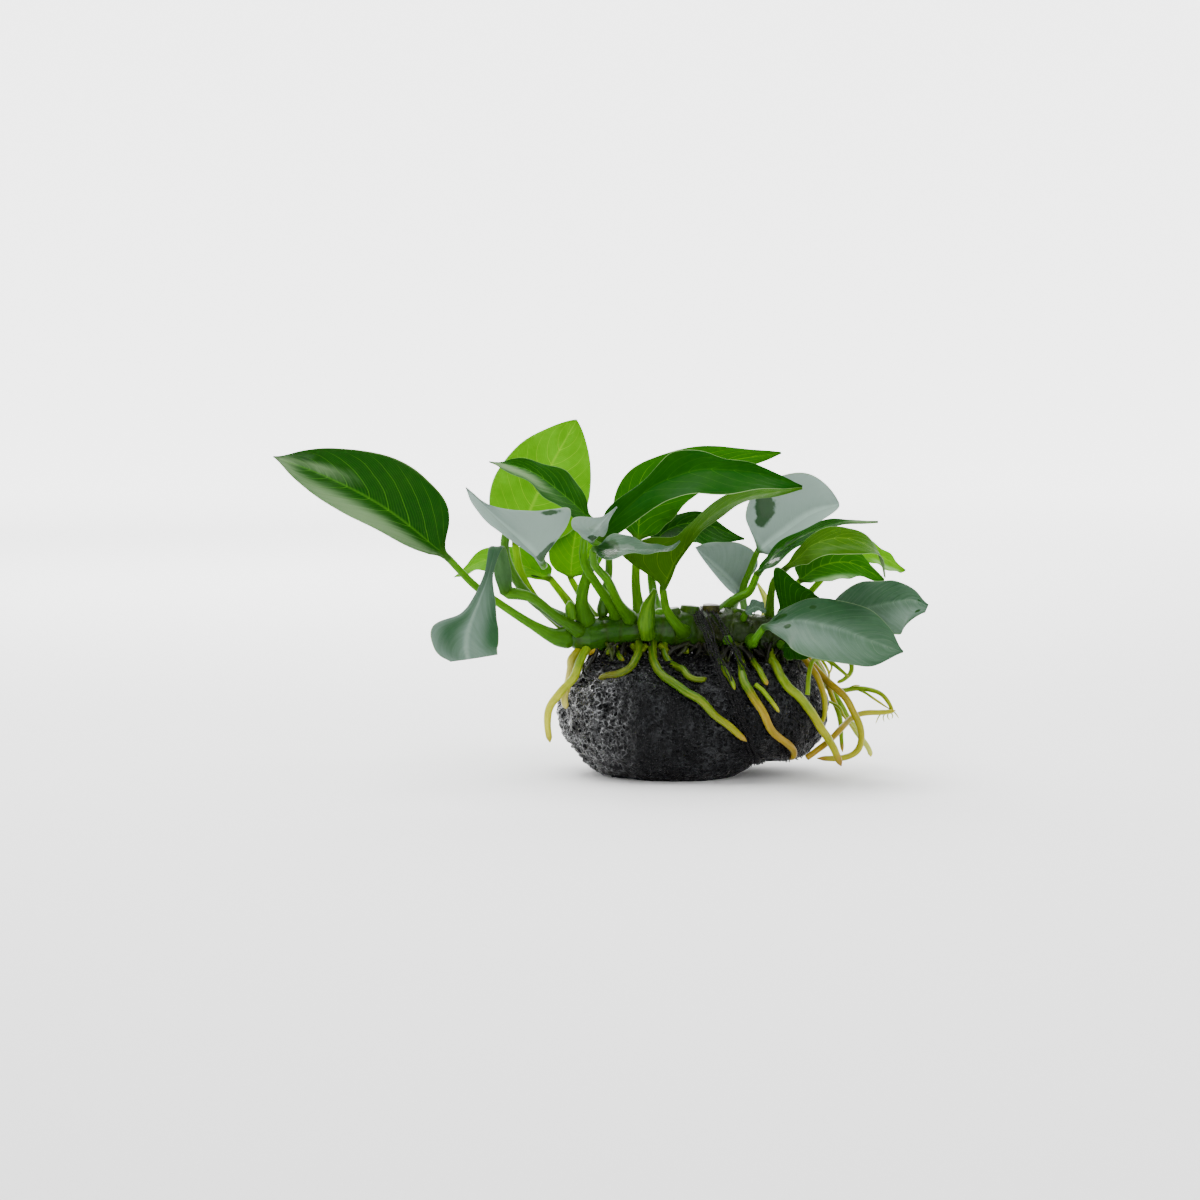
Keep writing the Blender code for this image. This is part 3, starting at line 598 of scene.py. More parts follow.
# %% Leaf material
def leaf_material(name, tone, veins, rim, shine):
    """One leaf's finish: veins and rim say how strongly they show, shine how much the leaf mirrors."""
    made, tree, shader = new_finish(name)
    along, across, upper = painted_values(tree, "place")
    bloom, dark, gloss = painted_values(tree, "marks")
    run, turn, stalk_share = painted_values(tree, "tube")
    lines = use_group(tree, VEINS, {"Along": along, "Across": across})
    pale = bloom_and_sheen_mask(tree, bloom, lines["Streaks"], veins)
    edge = {"Size": 300.0, "Raggedness": 0.8}
    bruise_and_shade = use_group(tree, RAGGED_EDGE, {"Mark": dark, "Softness": 0.12, **edge})["Mask"]
    glossy = use_group(tree, RAGGED_EDGE, {"Mark": gloss, "Softness": 0.08, **edge})["Mask"]
    colour = blend(tree, stalk_share,
                   blade_colour(tree, tone, veins, rim, upper, across, lines, pale, bruise_and_shade),
                   stalk_colour(tree, tone, run, turn))
    smooth_spots = times(tree, maths(tree, "MAXIMUM", glossy, bruise_and_shade), 0.22)
    ribs = plus(tree, times(tree, lines["Veins"], -0.6 * veins),
                times(tree, lines["Fine veins"], -0.22 * veins))
    height = plus(tree, ribs, times(tree, grain(tree, 700, 3), 0.3))
    height = plus(tree, height, times(tree, glossy, 0.6))
    feed(tree, shader, {
        "Base Color": colour,
        "Roughness": minus(tree, plus(tree, tone.rough, times(tree, pale, 0.1)), smooth_spots),
        "Specular IOR Level": shine,
        "Coat Weight": times(tree, maths(tree, "MAXIMUM", glossy, times(tree, stalk_share, 0.3)), 0.3),
        "Coat Roughness": 0.08,
        "Normal": relief(tree, height, 0.5, 0.0003),
    })
    let_light_through(tree, shader, colour, tone.glow)
    return made


print("leaf finish ready")

# %% [markdown]
# ## The leaves' form
#
# A leaf is one skin: rings around the stalk widen into flat rings across the blade. The blade's width
# along its length is a smooth hump, t^a (1-t)^b, whose top sits where the leaf is widest. Each half
# can be folded up along the midrib, and the margins can wave. Shallow furrows follow the side veins.

# %% Leaf rings
BLADE_STEPS = 76
RING = 48
EDGE_THICKNESS = 0.32
MIDRIB_DEPTH = 0.85
MIDRIB_WIDTH = 1.0
TIP_HALF_WIDTH = 0.25
STALK_STEPS = 8
FLARE_LENGTH = 7.0
FLARE_HEIGHT = 0.75
FOOT_LENGTH = 4.5
FOOT_SHARE = 0.3
STALK_FLATNESS = 0.12
FOLD_SOFTNESS = 0.6
FURROWS = 9
FURROW_SLANT = 0.45
FURROW_DEPTH = 0.1
WAVE_HEIGHT = 0.5
WAVES = 3
# the bloom mark paints the pale sheen of mirrored light as well as the waxy bloom
MARKS = ("bloom", "dark", "gloss")

Leaf = namedtuple("Leaf", "name tone stalk radii blade side half fold widest fullness")


def leaf_row(name, tone, stalk, blade, side, half, fold=(8, 8), widest=0.4, fullness=1.4,
             radii=(1.9, 1.25)):
    """One leaf: its stalk from the rhizome to the blade, and its blade from there to the tip.

    side points to the blade's right as seen on its upper face with the tip up, half holds the
    widths right and left of the midrib, and fold the degrees that each half rises. A half is one
    number for a plain leaf shape, or a row of widths from the blade's base to its tip. The blade's
    first place is the stalk's last one, and isn't written twice.
    """
    return Leaf(name, tone, stalk, radii, [stalk[-1], *blade], side, half, fold, widest, fullness)


def half_width(leaf, half, t):
    """How far one half of the blade reaches from the midrib at t."""
    if isinstance(half, tuple):
        return read_smooth(half, t)
    a = leaf.fullness * leaf.widest
    b = leaf.fullness * (1 - leaf.widest)
    return half * t**a * (1 - t) ** b / (leaf.widest**a * (1 - leaf.widest) ** b)


def blade_point(leaf, place, line, right, t, turn, stalk_radius):
    """A point on the skin around the blade, where turn runs once around the ring."""
    up = right.cross(line)
    s, rise = math.cos(turn), math.sin(turn)
    half, fold = (leaf.half[0], leaf.fold[0]) if s > 0 else (leaf.half[1], leaf.fold[1])
    width = max(half_width(leaf, half, t), stalk_radius * (1 - 4 * t), TIP_HALF_WIDTH)
    lean = math.radians(fold) * min(1.0, t / 0.1)
    reach = width * abs(s)
    sharp = reach / (reach + FOLD_SOFTNESS)
    side = right * math.copysign(reach * math.cos(lean), s) + up * reach * math.sin(lean) * sharp
    phase = 2 * math.pi * (WAVES * t) + (s < 0)
    margin = WAVE_HEIGHT * abs(s) ** 3 * ease(t, 0, 0.2) * math.sin(phase)
    vein = FURROWS * (t - FURROW_SLANT * abs(s) ** 0.85)
    furrow = -FURROW_DEPTH * math.cos(2 * math.pi * vein) * (1 - abs(s) ** 4) * ease(abs(s), 0.0, 0.2)
    thick = EDGE_THICKNESS * (1 - 0.5 * t) * rise
    rib = math.exp(-((reach / MIDRIB_WIDTH) ** 2)) * (1 - t)
    rib = -0.25 * rib if rise > 0 else -MIDRIB_DEPTH * rib * abs(rise)
    return place + side + up * (margin + furrow + thick + rib)


def blade_rings(leaf, lines, turns):
    """Rings from the stalk's end to the tip, round at first and then flat."""
    sides = [Vector(s) for s in leaf.side]
    radius = leaf.radii[-1]
    rings, places, tubes = [], [], []
    for i, (point, line) in enumerate(zip(smooth(leaf.blade, BLADE_STEPS), lines)):
        t = max(i / (BLADE_STEPS - 1), 0.004)
        right = square_to(read_at(sides, t), line)
        up = right.cross(line)
        flat = ease(t, 0.0, 0.09)
        ring = []
        for a in turns:
            round_point = point + (right * math.cos(a) + up * math.sin(a)) * radius
            flat_point = blade_point(leaf, point, line, right, min(t, 0.999), a, radius)
            ring.append(round_point.lerp(flat_point, flat))
        rings.append(ring)
        places.append([(t, math.cos(a), 1.0 if math.sin(a) >= 0 else 0.0) for a in turns])
        tubes.append([(0.0, a, 1 - ease(t, 0.0, 0.07)) for a in turns])
    return rings, places, tubes


def stalk_rings(leaf, blade_line, turns):
    """Rings from the stalk's foot up to the blade, worked out downwards to fit the blade's first."""
    steps = STALK_STEPS * len(leaf.stalk)
    stalk = smooth(leaf.stalk, steps)
    lines = directions(stalk)
    across = square_to(Vector(leaf.side[0]), blade_line)
    rings, places, tubes = [], [], []
    for i in reversed(range(steps - 1)):
        across = square_to(across, lines[i])
        up = across.cross(lines[i])
        risen = (stalk[i] - stalk[0]).length
        flare = FLARE_HEIGHT * math.exp(-((risen / FLARE_LENGTH) ** 2))
        uneven = 1 + flare + 0.05 * noise.noise(stalk[i] * 0.12)
        uneven *= FOOT_SHARE + (1 - FOOT_SHARE) * ease(risen, 0, FOOT_LENGTH)
        radius = read_at(leaf.radii, i / (steps - 1))
        ring = []
        for a in turns:
            rise = up * math.sin(a) * (1 - STALK_FLATNESS * (math.sin(a) > 0))
            ring.append(stalk[i] + (across * math.cos(a) + rise) * radius * uneven)
        rings.append(ring)
        places.append([(0.0, 0.0, 1.0)] * RING)
        tubes.append([(i * 2.0, a, 1.0) for a in turns])
    return rings[::-1], places[::-1], tubes[::-1]


def leaf_rings(leaf):
    """Rings for the stalk and then the blade, with what is painted on each of their points."""
    turns = [2 * math.pi * k / RING for k in range(RING)]
    lines = directions(smooth(leaf.blade, BLADE_STEPS))
    stalk = stalk_rings(leaf, lines[0], turns)
    blade = blade_rings(leaf, lines, turns)
    return [low + high for low, high in zip(stalk, blade)]


def painted(leaf, places):
    """The strength of each mark at each point, from the leaf's own list of soft spots.

    A spot is its kind, where it lies along and across the blade, how long and wide it is, and how
    strong. Across runs from -1 to 1, with the midrib at 0.
    """
    base = look_of(leaf.name, "bloom", 0.0)
    spots = look_of(leaf.name, "spots", [])
    rows = []
    for ring in places:
        row = []
        for along, across, _ in ring:
            value = [base, 0.0, 0.0]
            for kind, at, aside, long, wide, strength in spots:
                near = math.exp(-(((along - at) / long) ** 2) - ((across - aside) / wide) ** 2)
                value[MARKS.index(kind)] += strength * near
            row.append(tuple(min(max(v, 0.0), 1.0) for v in value))
        rows.append(row)
    return rows


print("leaf form ready")

# %% [markdown]
# ## The leaves one by one
#
# Each row gives a leaf's stalk, its blade and which way the blade faces. The marks are painted where
# this plant shows them: the waxy bloom, with painted sheen, on the leaves that look grey, the bruised
# patches, with painted shade on leaf_13 and along a fold of leaf_14, and the glossy spots that make
# small hard highlights. A leaf that isn't in the list of looks has the usual one.

# %% The leaves
LEAVES = [
    leaf_row(
        "leaf_01", "deep",
        [(-41, -7, 49), (-48.5, -7.5, 48.7), (-57, -8.5, 53), (-67.5, -10, 60), (-77, -11, 67),
         (-86, -12, 76.5)],
        [(-106.5, -17, 93.5), (-126.5, -22, 105), (-145, -26, 112.5)], [(0.5, 0.42, 0.75)],
        half=((1.2, 13.6, 16.8, 16.4, 13.8, 9.8, 5.4, 0.3), (1.2, 6.6, 9.6, 10.9, 10.9, 9.8, 5.6, 0.3)),
        fold=(22, 22), radii=(2.6, 2.6, 1.7, 1.4, 1.3, 1.25),
    ),
    leaf_row(
        "leaf_02", "grey", [(-38, -8, 49), (-48, -13, 56), (-57, -15, 63), (-66, -15, 65)],
        [(-67.5, -17, 74), (-69, -23, 81.5), (-71.5, -31, 72.5), (-74.5, -37, 64.5), (-77, -40, 58.5),
         (-78.4, -42, 53.5), (-78.8, -43.5, 49), (-78.2, -44.5, 45)],
        [(-1, -0.1, 0)],
        half=((3.2, 3.0, 2.6, 1.6, 2.3, 4.5, 12.0, 11.0, 6.0),
              (2.8, 3.0, 2.4, 1.6, 6.0, 9.5, 10.8, 10.8, 10.2)),
        fold=(5, 5), radii=(1.9, 1.5, 1.6, 2.3),
    ),
    leaf_row(
        "leaf_03", "fresh", [(-40, 1, 52), (-44.5, 9, 59), (-51, 13, 67)],
        [(-62, 20, 71.5), (-74.5, 27, 72.5), (-86, 33, 66)], [(0, 0.9, 0.45)], half=(8.5, 9),
    ),
    leaf_row(
        "leaf_04", "bright", [(-43, -1, 50.5), (-54, 3, 58), (-61, 5, 69), (-63.5, 9, 79.5)],
        [(-58, 22, 92), (-51, 33, 106.5), (-42, 44, 122)], [(0.91, -0.1, -0.42)], half=(18.5, 16.5),
        widest=0.42,
    ),
    leaf_row(
        "leaf_05", "deep",
        [(-27, -4, 53), (-29, -9, 59), (-35, -18, 68.5), (-39, -20, 76), (-39, -15, 83),
         (-36.5, -10, 89.5)],
        [(-45.5, -14, 98), (-57.5, -18, 107), (-71.5, -22, 110.5)], [(0.2, 0.9, 0.38)],
        half=((1.2, 10, 11.5, 7.5, 4, 0.3), (1.2, 9, 11.5, 12.5, 8, 0.3)),
    ),
    leaf_row(
        "leaf_06", "grey",
        [(-43, -5, 52.5), (-56, -4, 60.5), (-63, -5, 69), (-66.5, -6, 78), (-65.5, -8, 85.5),
         (-60.5, -11, 85), (-56, -16, 79.5), (-53, -22, 75), (-53, -27, 76)],
        [(-62, -31, 85.5), (-70.5, -34, 94), (-79, -36, 102.5)], [(0.68, 0, 0.73)],
        half=((1, 14.3, 19.6, 15.8, 11.6, 8.4, 5.4, 3.2, 1.6, 0.7, 0.5, 0.3),
              (0.8, 1.5, 2.5, 3.5, 4.5, 5.5, 6.3, 7, 6.8, 5.8, 4, 0.3)),
        fold=(0, 65),
    ),
    leaf_row(
        "leaf_07", "grey",
        [(-33, -4, 54), (-32, -5, 62), (-30.5, -11, 73), (-31.5, -18, 79.5), (-36.5, -24, 83.5)],
        [(-36.5, -27, 86), (-34.5, -32, 88.5), (-31.5, -38, 92.5), (-28, -43, 96.5)],
        [(1, 0, 0), (0.8, -0.1, -0.6)], half=((1.1, 2.8, 3.5, 1.5, 0.3), (1.1, 5, 9.2, 1.4, 0.3)),
        radii=(1.6, 1.1),
    ),
    leaf_row(
        "leaf_08", "grey",
        [(-21.5, -8, 53.5), (-27, -17, 61), (-31, -26, 70), (-35.5, -31, 76), (-36, -33.5, 81.5)],
        [(-30.5, -35, 81.5), (-25, -36, 81.5), (-20, -37, 81.5), (-15, -38, 81.5), (-10.5, -38, 82),
         (-6.5, -38, 84.5)],
        [(0, -0.9, -0.4)], half=((1, 9, 5.5, 3.2, 2.5, 2.5, 0.3), (1, 8.5, 6.7, 4.7, 2.7, 2, 0.3)),
        fold=(8, 15),
    ),
    leaf_row(
        "leaf_09", "bright", [(-34, -1, 52), (-39, 9, 59), (-44, 12, 67.5)],
        [(-43.5, 15, 75), (-42, 20, 84), (-39.5, 26, 91.5)], [(0.98, 0.1, -0.1)], half=(11, 9),
        fold=(12, 12), radii=(1.5, 1.1),
    ),
    leaf_row(
        "leaf_10", "fresh", [(-19, -3, 52), (-21, 4, 66), (-20.5, 6, 81)],
        [(-18.5, 14, 92), (-9, 20, 101), (9, 24, 107.5), (31, 26, 111)],
        [(0.9, 0.2, -0.4), (0.6, -0.5, -0.6), (0, -0.85, -0.5)], half=(12, 12),
    ),
    leaf_row(
        "leaf_11", "deep", [(-38, -6, 51), (-40, -11, 62), (-37.5, -14, 72.5), (-33.5, -16, 83)],
        [(-28, -19, 91), (-16.5, -23, 101.5), (-8, -25, 105.5), (0.5, -26, 108), (9.5, -26.5, 108),
         (19, -26, 107), (28, -25, 104.5), (35.5, -24, 102)],
        [(0.5, -0.7, -0.5), (0.1, -0.85, -0.5), (0, -0.85, -0.5)],
        half=((1.5, 8, 11, 14, 17.5, 18.5, 14, 6.5, 0.3), (1.5, 5.6, 4.9, 10.4, 9.8, 5.2, 4.3, 3.2, 0.3)),
        fold=(8, 12), radii=(2.6, 1.5),
    ),
    leaf_row(
        "leaf_12", "olive", [(-4, -7, 50), (-6, -16, 52.5), (-10.5, -18, 59), (-12, -18, 66.5)],
        [(-10, -18, 70.5), (-7.5, -18, 76), (-3.5, -17, 81.5), (0.5, -16, 87.5), (8, -14, 93.5),
         (16.5, -14, 97.5), (26.5, -15, 99.5), (36, -17, 101)],
        [(0.87, 0, -0.5), (0.85, -0.1, -0.5), (0.25, -0.92, -0.3), (0.1, -0.95, -0.3), (0, -0.95, -0.3)],
        half=((1.2, 1.2, 1, 1.5, 5, 7, 6.5, 5, 0.4), (1.2, 17.5, 14, 6, 6.5, 7, 6.5, 5, 0.4)),
        fold=(10, 5),
    ),
    leaf_row(
        "leaf_13", "deep", [(-12, -3, 53), (-15, 12, 63.5), (-16, 16, 77)],
        [(-9.5, 20, 84), (2, 25, 86), (18, 28, 80)], [(0, -0.8, -0.55)],
        half=((1.2, 9, 13, 15, 14.5, 9, 0.3), (1.2, 4.5, 5.5, 5.5, 5.5, 3.5, 0.3)),
    ),
    leaf_row(
        "leaf_14", "grey", [(20, -2, 50), (17.5, 8, 56.5), (17, 14, 63), (19.5, 14, 70), (22, 12, 77)],
        [(32, 15, 84), (41.5, 18, 90), (51.5, 21, 93)], [(0.5, 0, -0.87)], half=(9, 18), fold=(65, 0),
        widest=0.42, fullness=1.0, radii=(1.5, 1.1),
    ),
    leaf_row(
        "leaf_15", "grey", [(12, 0, 52), (14, 16, 57), (16.5, 20, 62)],
        [(11, 17.5, 67.5), (5.5, 14, 73), (0, 10.5, 78.5)], [(0.7, 0, 0.7)], half=(13.5, 9),
        fold=(0, 75), widest=0.33, fullness=1.2, radii=(1.5, 1.1),
    ),
    leaf_row(
        "leaf_16", "deep", [(5, -3, 53), (12.5, 0, 60.5), (18.5, 3, 63.5), (21.5, 4, 69.5)],
        [(24.5, 3.5, 73), (28.5, 2, 77), (34.5, 0, 81.5), (40.5, -2, 85), (46.5, -5, 87.5), (53, -8, 89),
         (62.5, -12, 89)],
        [(0.2, -0.9, -0.35)],
        half=((1.3, 4.4, 7.5, 7, 6, 4.4, 1.8, 0.4), (1.3, 3, 4.5, 3.8, 3.8, 2.8, 1.6, 0.4)),
        fold=(10, 10), radii=(2, 1.3),
    ),
    leaf_row(
        "leaf_17", "olive", [(25, -3, 50), (25.5, -3, 57), (26, -3, 63), (27, -5, 68), (30, -9, 72)],
        [(35.5, -14, 77.5), (39.5, -18, 81.5), (46, -21, 84), (52, -22, 84), (58.5, -21, 81.5),
         (63, -20, 77.5), (64.5, -19, 70.5)],
        [(0.2, -0.9, -0.3), (0, -0.9, -0.4), (0.2, -0.9, 0.1)],
        half=((1.2, 4.5, 8, 10, 10, 8.3, 5, 0.6), (1.2, 4.5, 5.5, 6.5, 7.5, 8, 9, 1.5)), fold=(-5, 10),
        radii=(1.6, 1.2),
    ),
    leaf_row(
        "leaf_18", "bright", [(28.5, -2, 48), (30.5, 9, 55.5), (33.5, 14, 61), (37, 16, 66)],
        [(44.5, 18, 71), (55.5, 22, 72), (68, 26, 65.5)], [(0, -0.75, -0.6)], half=(10, 10),
        radii=(1.4, 1.1),
    ),
    leaf_row(
        "leaf_19", "bright", [(32, -1, 48), (37.5, 18, 57), (47, 26, 67.5), (54, 30, 75)],
        [(63, 34, 75.5), (70.5, 38, 71.5), (77, 42, 67.5)], [(0, -0.7, -0.6)], half=(7, 4.5),
        radii=(1.4, 1.0),
    ),
    leaf_row(
        "leaf_20", "grey", [(33, -3, 47.5), (38, -5, 50.5), (43.5, -6, 54)],
        [(50, -9, 56.5), (56, -11, 58.5), (62, -13, 60), (68, -15, 61.5), (74, -17, 62.5),
         (79.5, -18, 60.5)],
        [(0, -0.75, -0.65)], half=((1.2, 10, 13.5, 15.5, 17, 17.5, 4), (1.2, 9, 11, 11, 9, 5, 0.5)),
    ),
    leaf_row(
        "leaf_21", "grey", [(19, -7, 48), (19, -15, 47.5), (19.5, -20.5, 49), (22.5, -22, 53.5)],
        [(29, -25, 55.5), (35, -28, 56.5), (41.5, -31, 55.5), (48.5, -33.5, 54), (55.5, -36, 51.5),
         (62.5, -38, 49), (69, -40, 47)],
        [(-0.1, -0.78, -0.62)],
        half=((1.2, 7.5, 13, 18.5, 18.5, 17.5, 13, 0.3), (1.2, 6.5, 9.5, 11.5, 12.5, 11.5, 8, 0.3)),
    ),
    leaf_row(
        "leaf_22", "deep", [(28, -6, 50), (29, -9, 53.5), (29, -11, 58)],
        [(33, -13, 60), (37.5, -15, 62), (42, -17, 63.5)], [(0.29, 0, -0.96)],
        half=((1.2, 4, 5, 4, 2, 0.3), (1.2, 12, 14.5, 8.5, 4, 0.3)), fold=(-65, 0), radii=(1.5, 1.1),
    ),
    leaf_row(
        "small_leaf_01", "grey", [(15, -7, 52), (17, -9.5, 57.5)], [(20.5, -11, 59.5), (24, -12, 58)],
        [(0, -0.8, -0.6)], half=(3.5, 3.5), radii=(1.0, 0.8),
    ),
    leaf_row(
        "small_leaf_02", "deep", [(28.5, -7, 46.5), (30, -17, 46)], [(33, -24, 46.5), (37.5, -30, 44)],
        [(0, -0.5, -0.85)], half=(4.5, 4.5), radii=(1.2, 1.0),
    ),
]

# A bloom spot paints pale sheen into the colour as well as waxy bloom.
LOOKS = {
    "leaf_01": {
        "shine": 0.05,
        "spots": [("bloom", 0.45, -0.75, 0.55, 0.45, 0.95), ("bloom", 0.72, 0.22, 0.2, 0.22, 0.7),
                  ("bloom", 0.97, 0.0, 0.1, 1.0, 0.8), ("gloss", 0.85, 0.6, 0.12, 0.25, 0.9)],
    },
    "leaf_02": {
        "bloom": 0.55, "veins": 0.15, "shine": 0.04,
        "spots": [("bloom", 0.0, 0.0, 0.34, 2.0, -0.7), ("bloom", 0.75, 0.5, 0.2, 0.3, -0.3),
                  ("bloom", 0.72, -0.95, 0.25, 0.4, -0.45)],
    },
    "leaf_03": {"tone": "bright", "spots": [("dark", 0.1, -0.6, 0.05, 0.2, 0.8)]},
    "leaf_05": {
        "spots": [("bloom", 0.75, -0.5, 0.35, 0.45, 0.75), ("bloom", 1.0, 0.0, 0.15, 1.0, 0.8)],
    },
    "leaf_06": {
        "bloom": 0.9, "veins": 0.3, "shine": 0.12,
        "spots": [("dark", 0.27, 0.9, 0.09, 0.12, 0.8), ("dark", 0.06, 0.3, 0.04, 0.7, 0.9),
                  ("gloss", 0.05, 0.2, 0.06, 0.5, 0.8)],
    },
    "leaf_07": {
        "bloom": 0.75, "veins": 0.3, "shine": 0.15,
        "spots": [("dark", 0.14, 0.3, 0.13, 0.8, 0.9), ("gloss", 0.45, 0.0, 0.2, 0.6, 0.7)],
    },
    "leaf_08": {
        "bloom": 0.32, "veins": 0.3, "shine": 0.05,
        "spots": [("dark", 0.14, 0.2, 0.15, 1.0, 1.1), ("gloss", 0.34, 0.0, 0.16, 0.6, 0.8)],
    },
    "leaf_11": {
        "rim": 0.55, "veins": 0.2,
        "spots": [("bloom", 0.55, 0.2, 0.2, 0.15, 0.08), ("dark", 1.0, 0.0, 0.03, 2.0, 0.9)],
    },
    "leaf_12": {"veins": 0.6, "spots": [("bloom", 0.85, 0.5, 0.15, 0.3, 0.25)]},
    # painted shade: this dark mark darkens the part of leaf_13 that lies in shade
    "leaf_13": {"spots": [("dark", 0.2, 0.3, 0.3, 0.7, 0.7)]},
    "leaf_14": {
        "bloom": 0.9, "veins": 0.2, "shine": 0.05,
        # painted shade: the thin dark mark at 0.55 is the shade along a fold of the blade
        "spots": [("dark", 0.32, -0.68, 0.13, 0.3, 0.95), ("dark", 0.2, -0.5, 0.1, 0.2, 0.6),
                  ("dark", 0.55, -0.9, 0.02, 0.15, 0.8), ("gloss", 0.32, -0.6, 0.12, 0.3, 0.9)],
    },
    "leaf_15": {"bloom": 0.75, "veins": 0.3, "shine": 0.06},
    "leaf_16": {
        "shine": 0.02,
        "spots": [("dark", 0.4, 0.2, 0.22, 0.6, 0.9), ("bloom", 0.97, 0.0, 0.14, 2.0, 0.9),
                  ("gloss", 0.35, 0.2, 0.3, 0.8, 0.8)],
    },
    "leaf_17": {
        "rim": 0.7, "veins": 1.2,
        "spots": [("bloom", 0.5, 0.6, 0.3, 0.3, 0.35), ("bloom", 0.95, 0.0, 0.16, 2.0, 0.8)],
    },
    "leaf_18": {"tone": "fresh", "spots": [("bloom", 0.35, 0.95, 0.35, 0.3, 0.95)]},
    "leaf_19": {"spots": [("bloom", 0.6, 0.8, 0.4, 0.3, 0.7), ("dark", 1.0, 0.0, 0.03, 2.0, 0.9)]},
    "leaf_20": {
        "bloom": 0.28, "veins": 0.3, "shine": 0.03,
        "spots": [("dark", 0.93, 0.55, 0.03, 0.1, 0.9), ("dark", 0.9, -0.2, 0.03, 0.1, 0.9),
                  ("bloom", 0.8, 0.5, 0.3, 0.4, 0.2)],
    },
    "leaf_21": {
        "bloom": 0.28, "rim": 0.2, "veins": 0.3, "shine": 0.04,
        "spots": [("bloom", 0.35, 0.45, 0.4, 0.5, 0.26), ("bloom", 0.25, -0.7, 0.35, 0.35, -0.25),
                  ("dark", 0.12, -0.45, 0.08, 0.2, 0.8), ("dark", 0.2, 0.3, 0.05, 0.15, 0.9),
                  ("dark", 0.33, -0.6, 0.03, 0.12, 0.9), ("gloss", 0.12, -0.45, 0.08, 0.2, 0.9)],
    },
    "leaf_22": {"spots": [("bloom", 0.2, 0.6, 0.2, 0.4, 0.8)]},
    "small_leaf_01": {"bloom": 0.4},
}


def look_of(name, what, otherwise):
    """One leaf's own value of a look, or the usual one."""
    return LOOKS.get(name, {}).get(what, otherwise)


print("leaves:", len(LEAVES))

# %% Make the leaves
def make_leaf(leaf):
    """One leaf's skin, painted, finished and placed on its solid."""
    rings, places, tubes = leaf_rings(leaf)
    made = skin(leaf.name + "_skin", rings,
                {"place": places, "tube": tubes, "marks": painted(leaf, places)})
    tone = TONES[look_of(leaf.name, "tone", leaf.tone)]
    made.data.materials.append(leaf_material(
        leaf.name + " finish", tone, look_of(leaf.name, "veins", 1.0), look_of(leaf.name, "rim", 0.35),
        look_of(leaf.name, "shine", 0.004)))
    place_on_frame(made, leaf.tone + "_leaf", leaf.name)
    return made


leaf_pieces = [make_leaf(leaf) for leaf in LEAVES]
print("leaf triangles:", sum(2 * len(p.data.polygons) for p in leaf_pieces))

# %% [markdown]
# ## The stone
#
# Lava is full of burst gas bubbles. The stone starts as a ball of points pushed out to the stone's
# outline, as in the solid, but much finer, and then bubbles are pressed into it: deep and close
# together at its left end and along its edges, and worn almost flat across the front.

# %% Stone form
STONE_OUTLINE = [
    (-32, 43), (-39.5, 38.5), (-45.5, 31.5), (-48.8, 24), (-47.6, 15.5), (-43, 8), (-36, 1.5),
    (-27, -2), (-13, -4.5), (0, -4.2), (11, -1.5), (17, 1.5), (22, 4), (34, 5), (40, 7.5),
    (45, 15), (47.2, 24),
    (45, 31.5), (41, 37), (34, 40.5), (22, 42.3), (8, 43), (-8, 43), (-22, 43.6),
]
STONE_MIDDLE = Vector((0, 0, 21))
STONE_FRONT = 34
STONE_BACK = 33
STONE_SQUARENESS = 0.82
STONE_FULLNESS = 0.9
OUTLINE_STEPS = 960
STONE_LUMPS = [(0.045, 1.4), (0.13, 0.5)]
STONE_DETAIL = 7
BUBBLES = [(0.09, 2.4), (0.22, 1.0), (0.45, 0.95), (0.9, 0.45)]
BUBBLE_REACH = 0.6


def reach_table():
    """How far the outline lies from the stone's middle, by angle."""
    edge = smooth([(x, 0, z) for x, z in STONE_OUTLINE], OUTLINE_STEPS, closed=True)
    away = [p - STONE_MIDDLE for p in edge]
    pairs = sorted((math.atan2(p.z, p.x), p.length) for p in away)
    return np.array(pairs)


def coarseness(place):
    """Where the bubbles are deep: 1 at the left end, the edges and the back, near 0 in front."""
    left = ease(-place.x, 18, 34)
    top = ease(place.z, 32, 41)
    right = 0.7 * ease(place.x, 30, 44)
    back = ease(place.y, -8, 8)
    return max(0.16, left, top, right, back)


def bubble_depth(place, size, depth):
    """How deep a bubble is pressed in at a place."""
    near = noise.voronoi(place * size)[0][0]
    return depth * max(0.0, 1 - (near / BUBBLE_REACH) ** 2)


def make_stone():
    """A fine ball of points, pushed out to the stone's form and pitted with bubbles."""
    table = reach_table()
    ball = bmesh.new()
    bmesh.ops.create_icosphere(ball, subdivisions=STONE_DETAIL, radius=1)
    for vertex in ball.verts:
        d = vertex.co.normalized()
        angle = math.atan2(d.z, d.x)
        level = math.hypot(d.x, d.z)
        out = float(np.interp(angle, table[:, 0], table[:, 1])) * level**STONE_SQUARENESS
        depth = STONE_FRONT if d.y < 0 else STONE_BACK
        place = STONE_MIDDLE + Vector((
            math.cos(angle) * out,
            math.copysign(depth * abs(d.y) ** STONE_FULLNESS, d.y),
            math.sin(angle) * out,
        ))
        for frequency, height in STONE_LUMPS:
            place += d * noise.noise(place * frequency) * height
        rough = coarseness(place)
        pressed = sum(bubble_depth(place, size, depth) for size, depth in BUBBLES)
        place -= d * pressed * rough
        place += d * rough * 0.5 * noise.fractal(place * 0.5, 1.0, 2.0, 3)
        place.z = max(place.z, 0)
        vertex.co = place * MM
    mesh = bpy.data.meshes.new("stone_skin")
    ball.to_mesh(mesh)
    ball.free()
    mesh.shade_smooth()
    return put_in_scene("stone_skin", mesh)


stone = make_stone()
print("stone triangles:", len(stone.data.polygons))

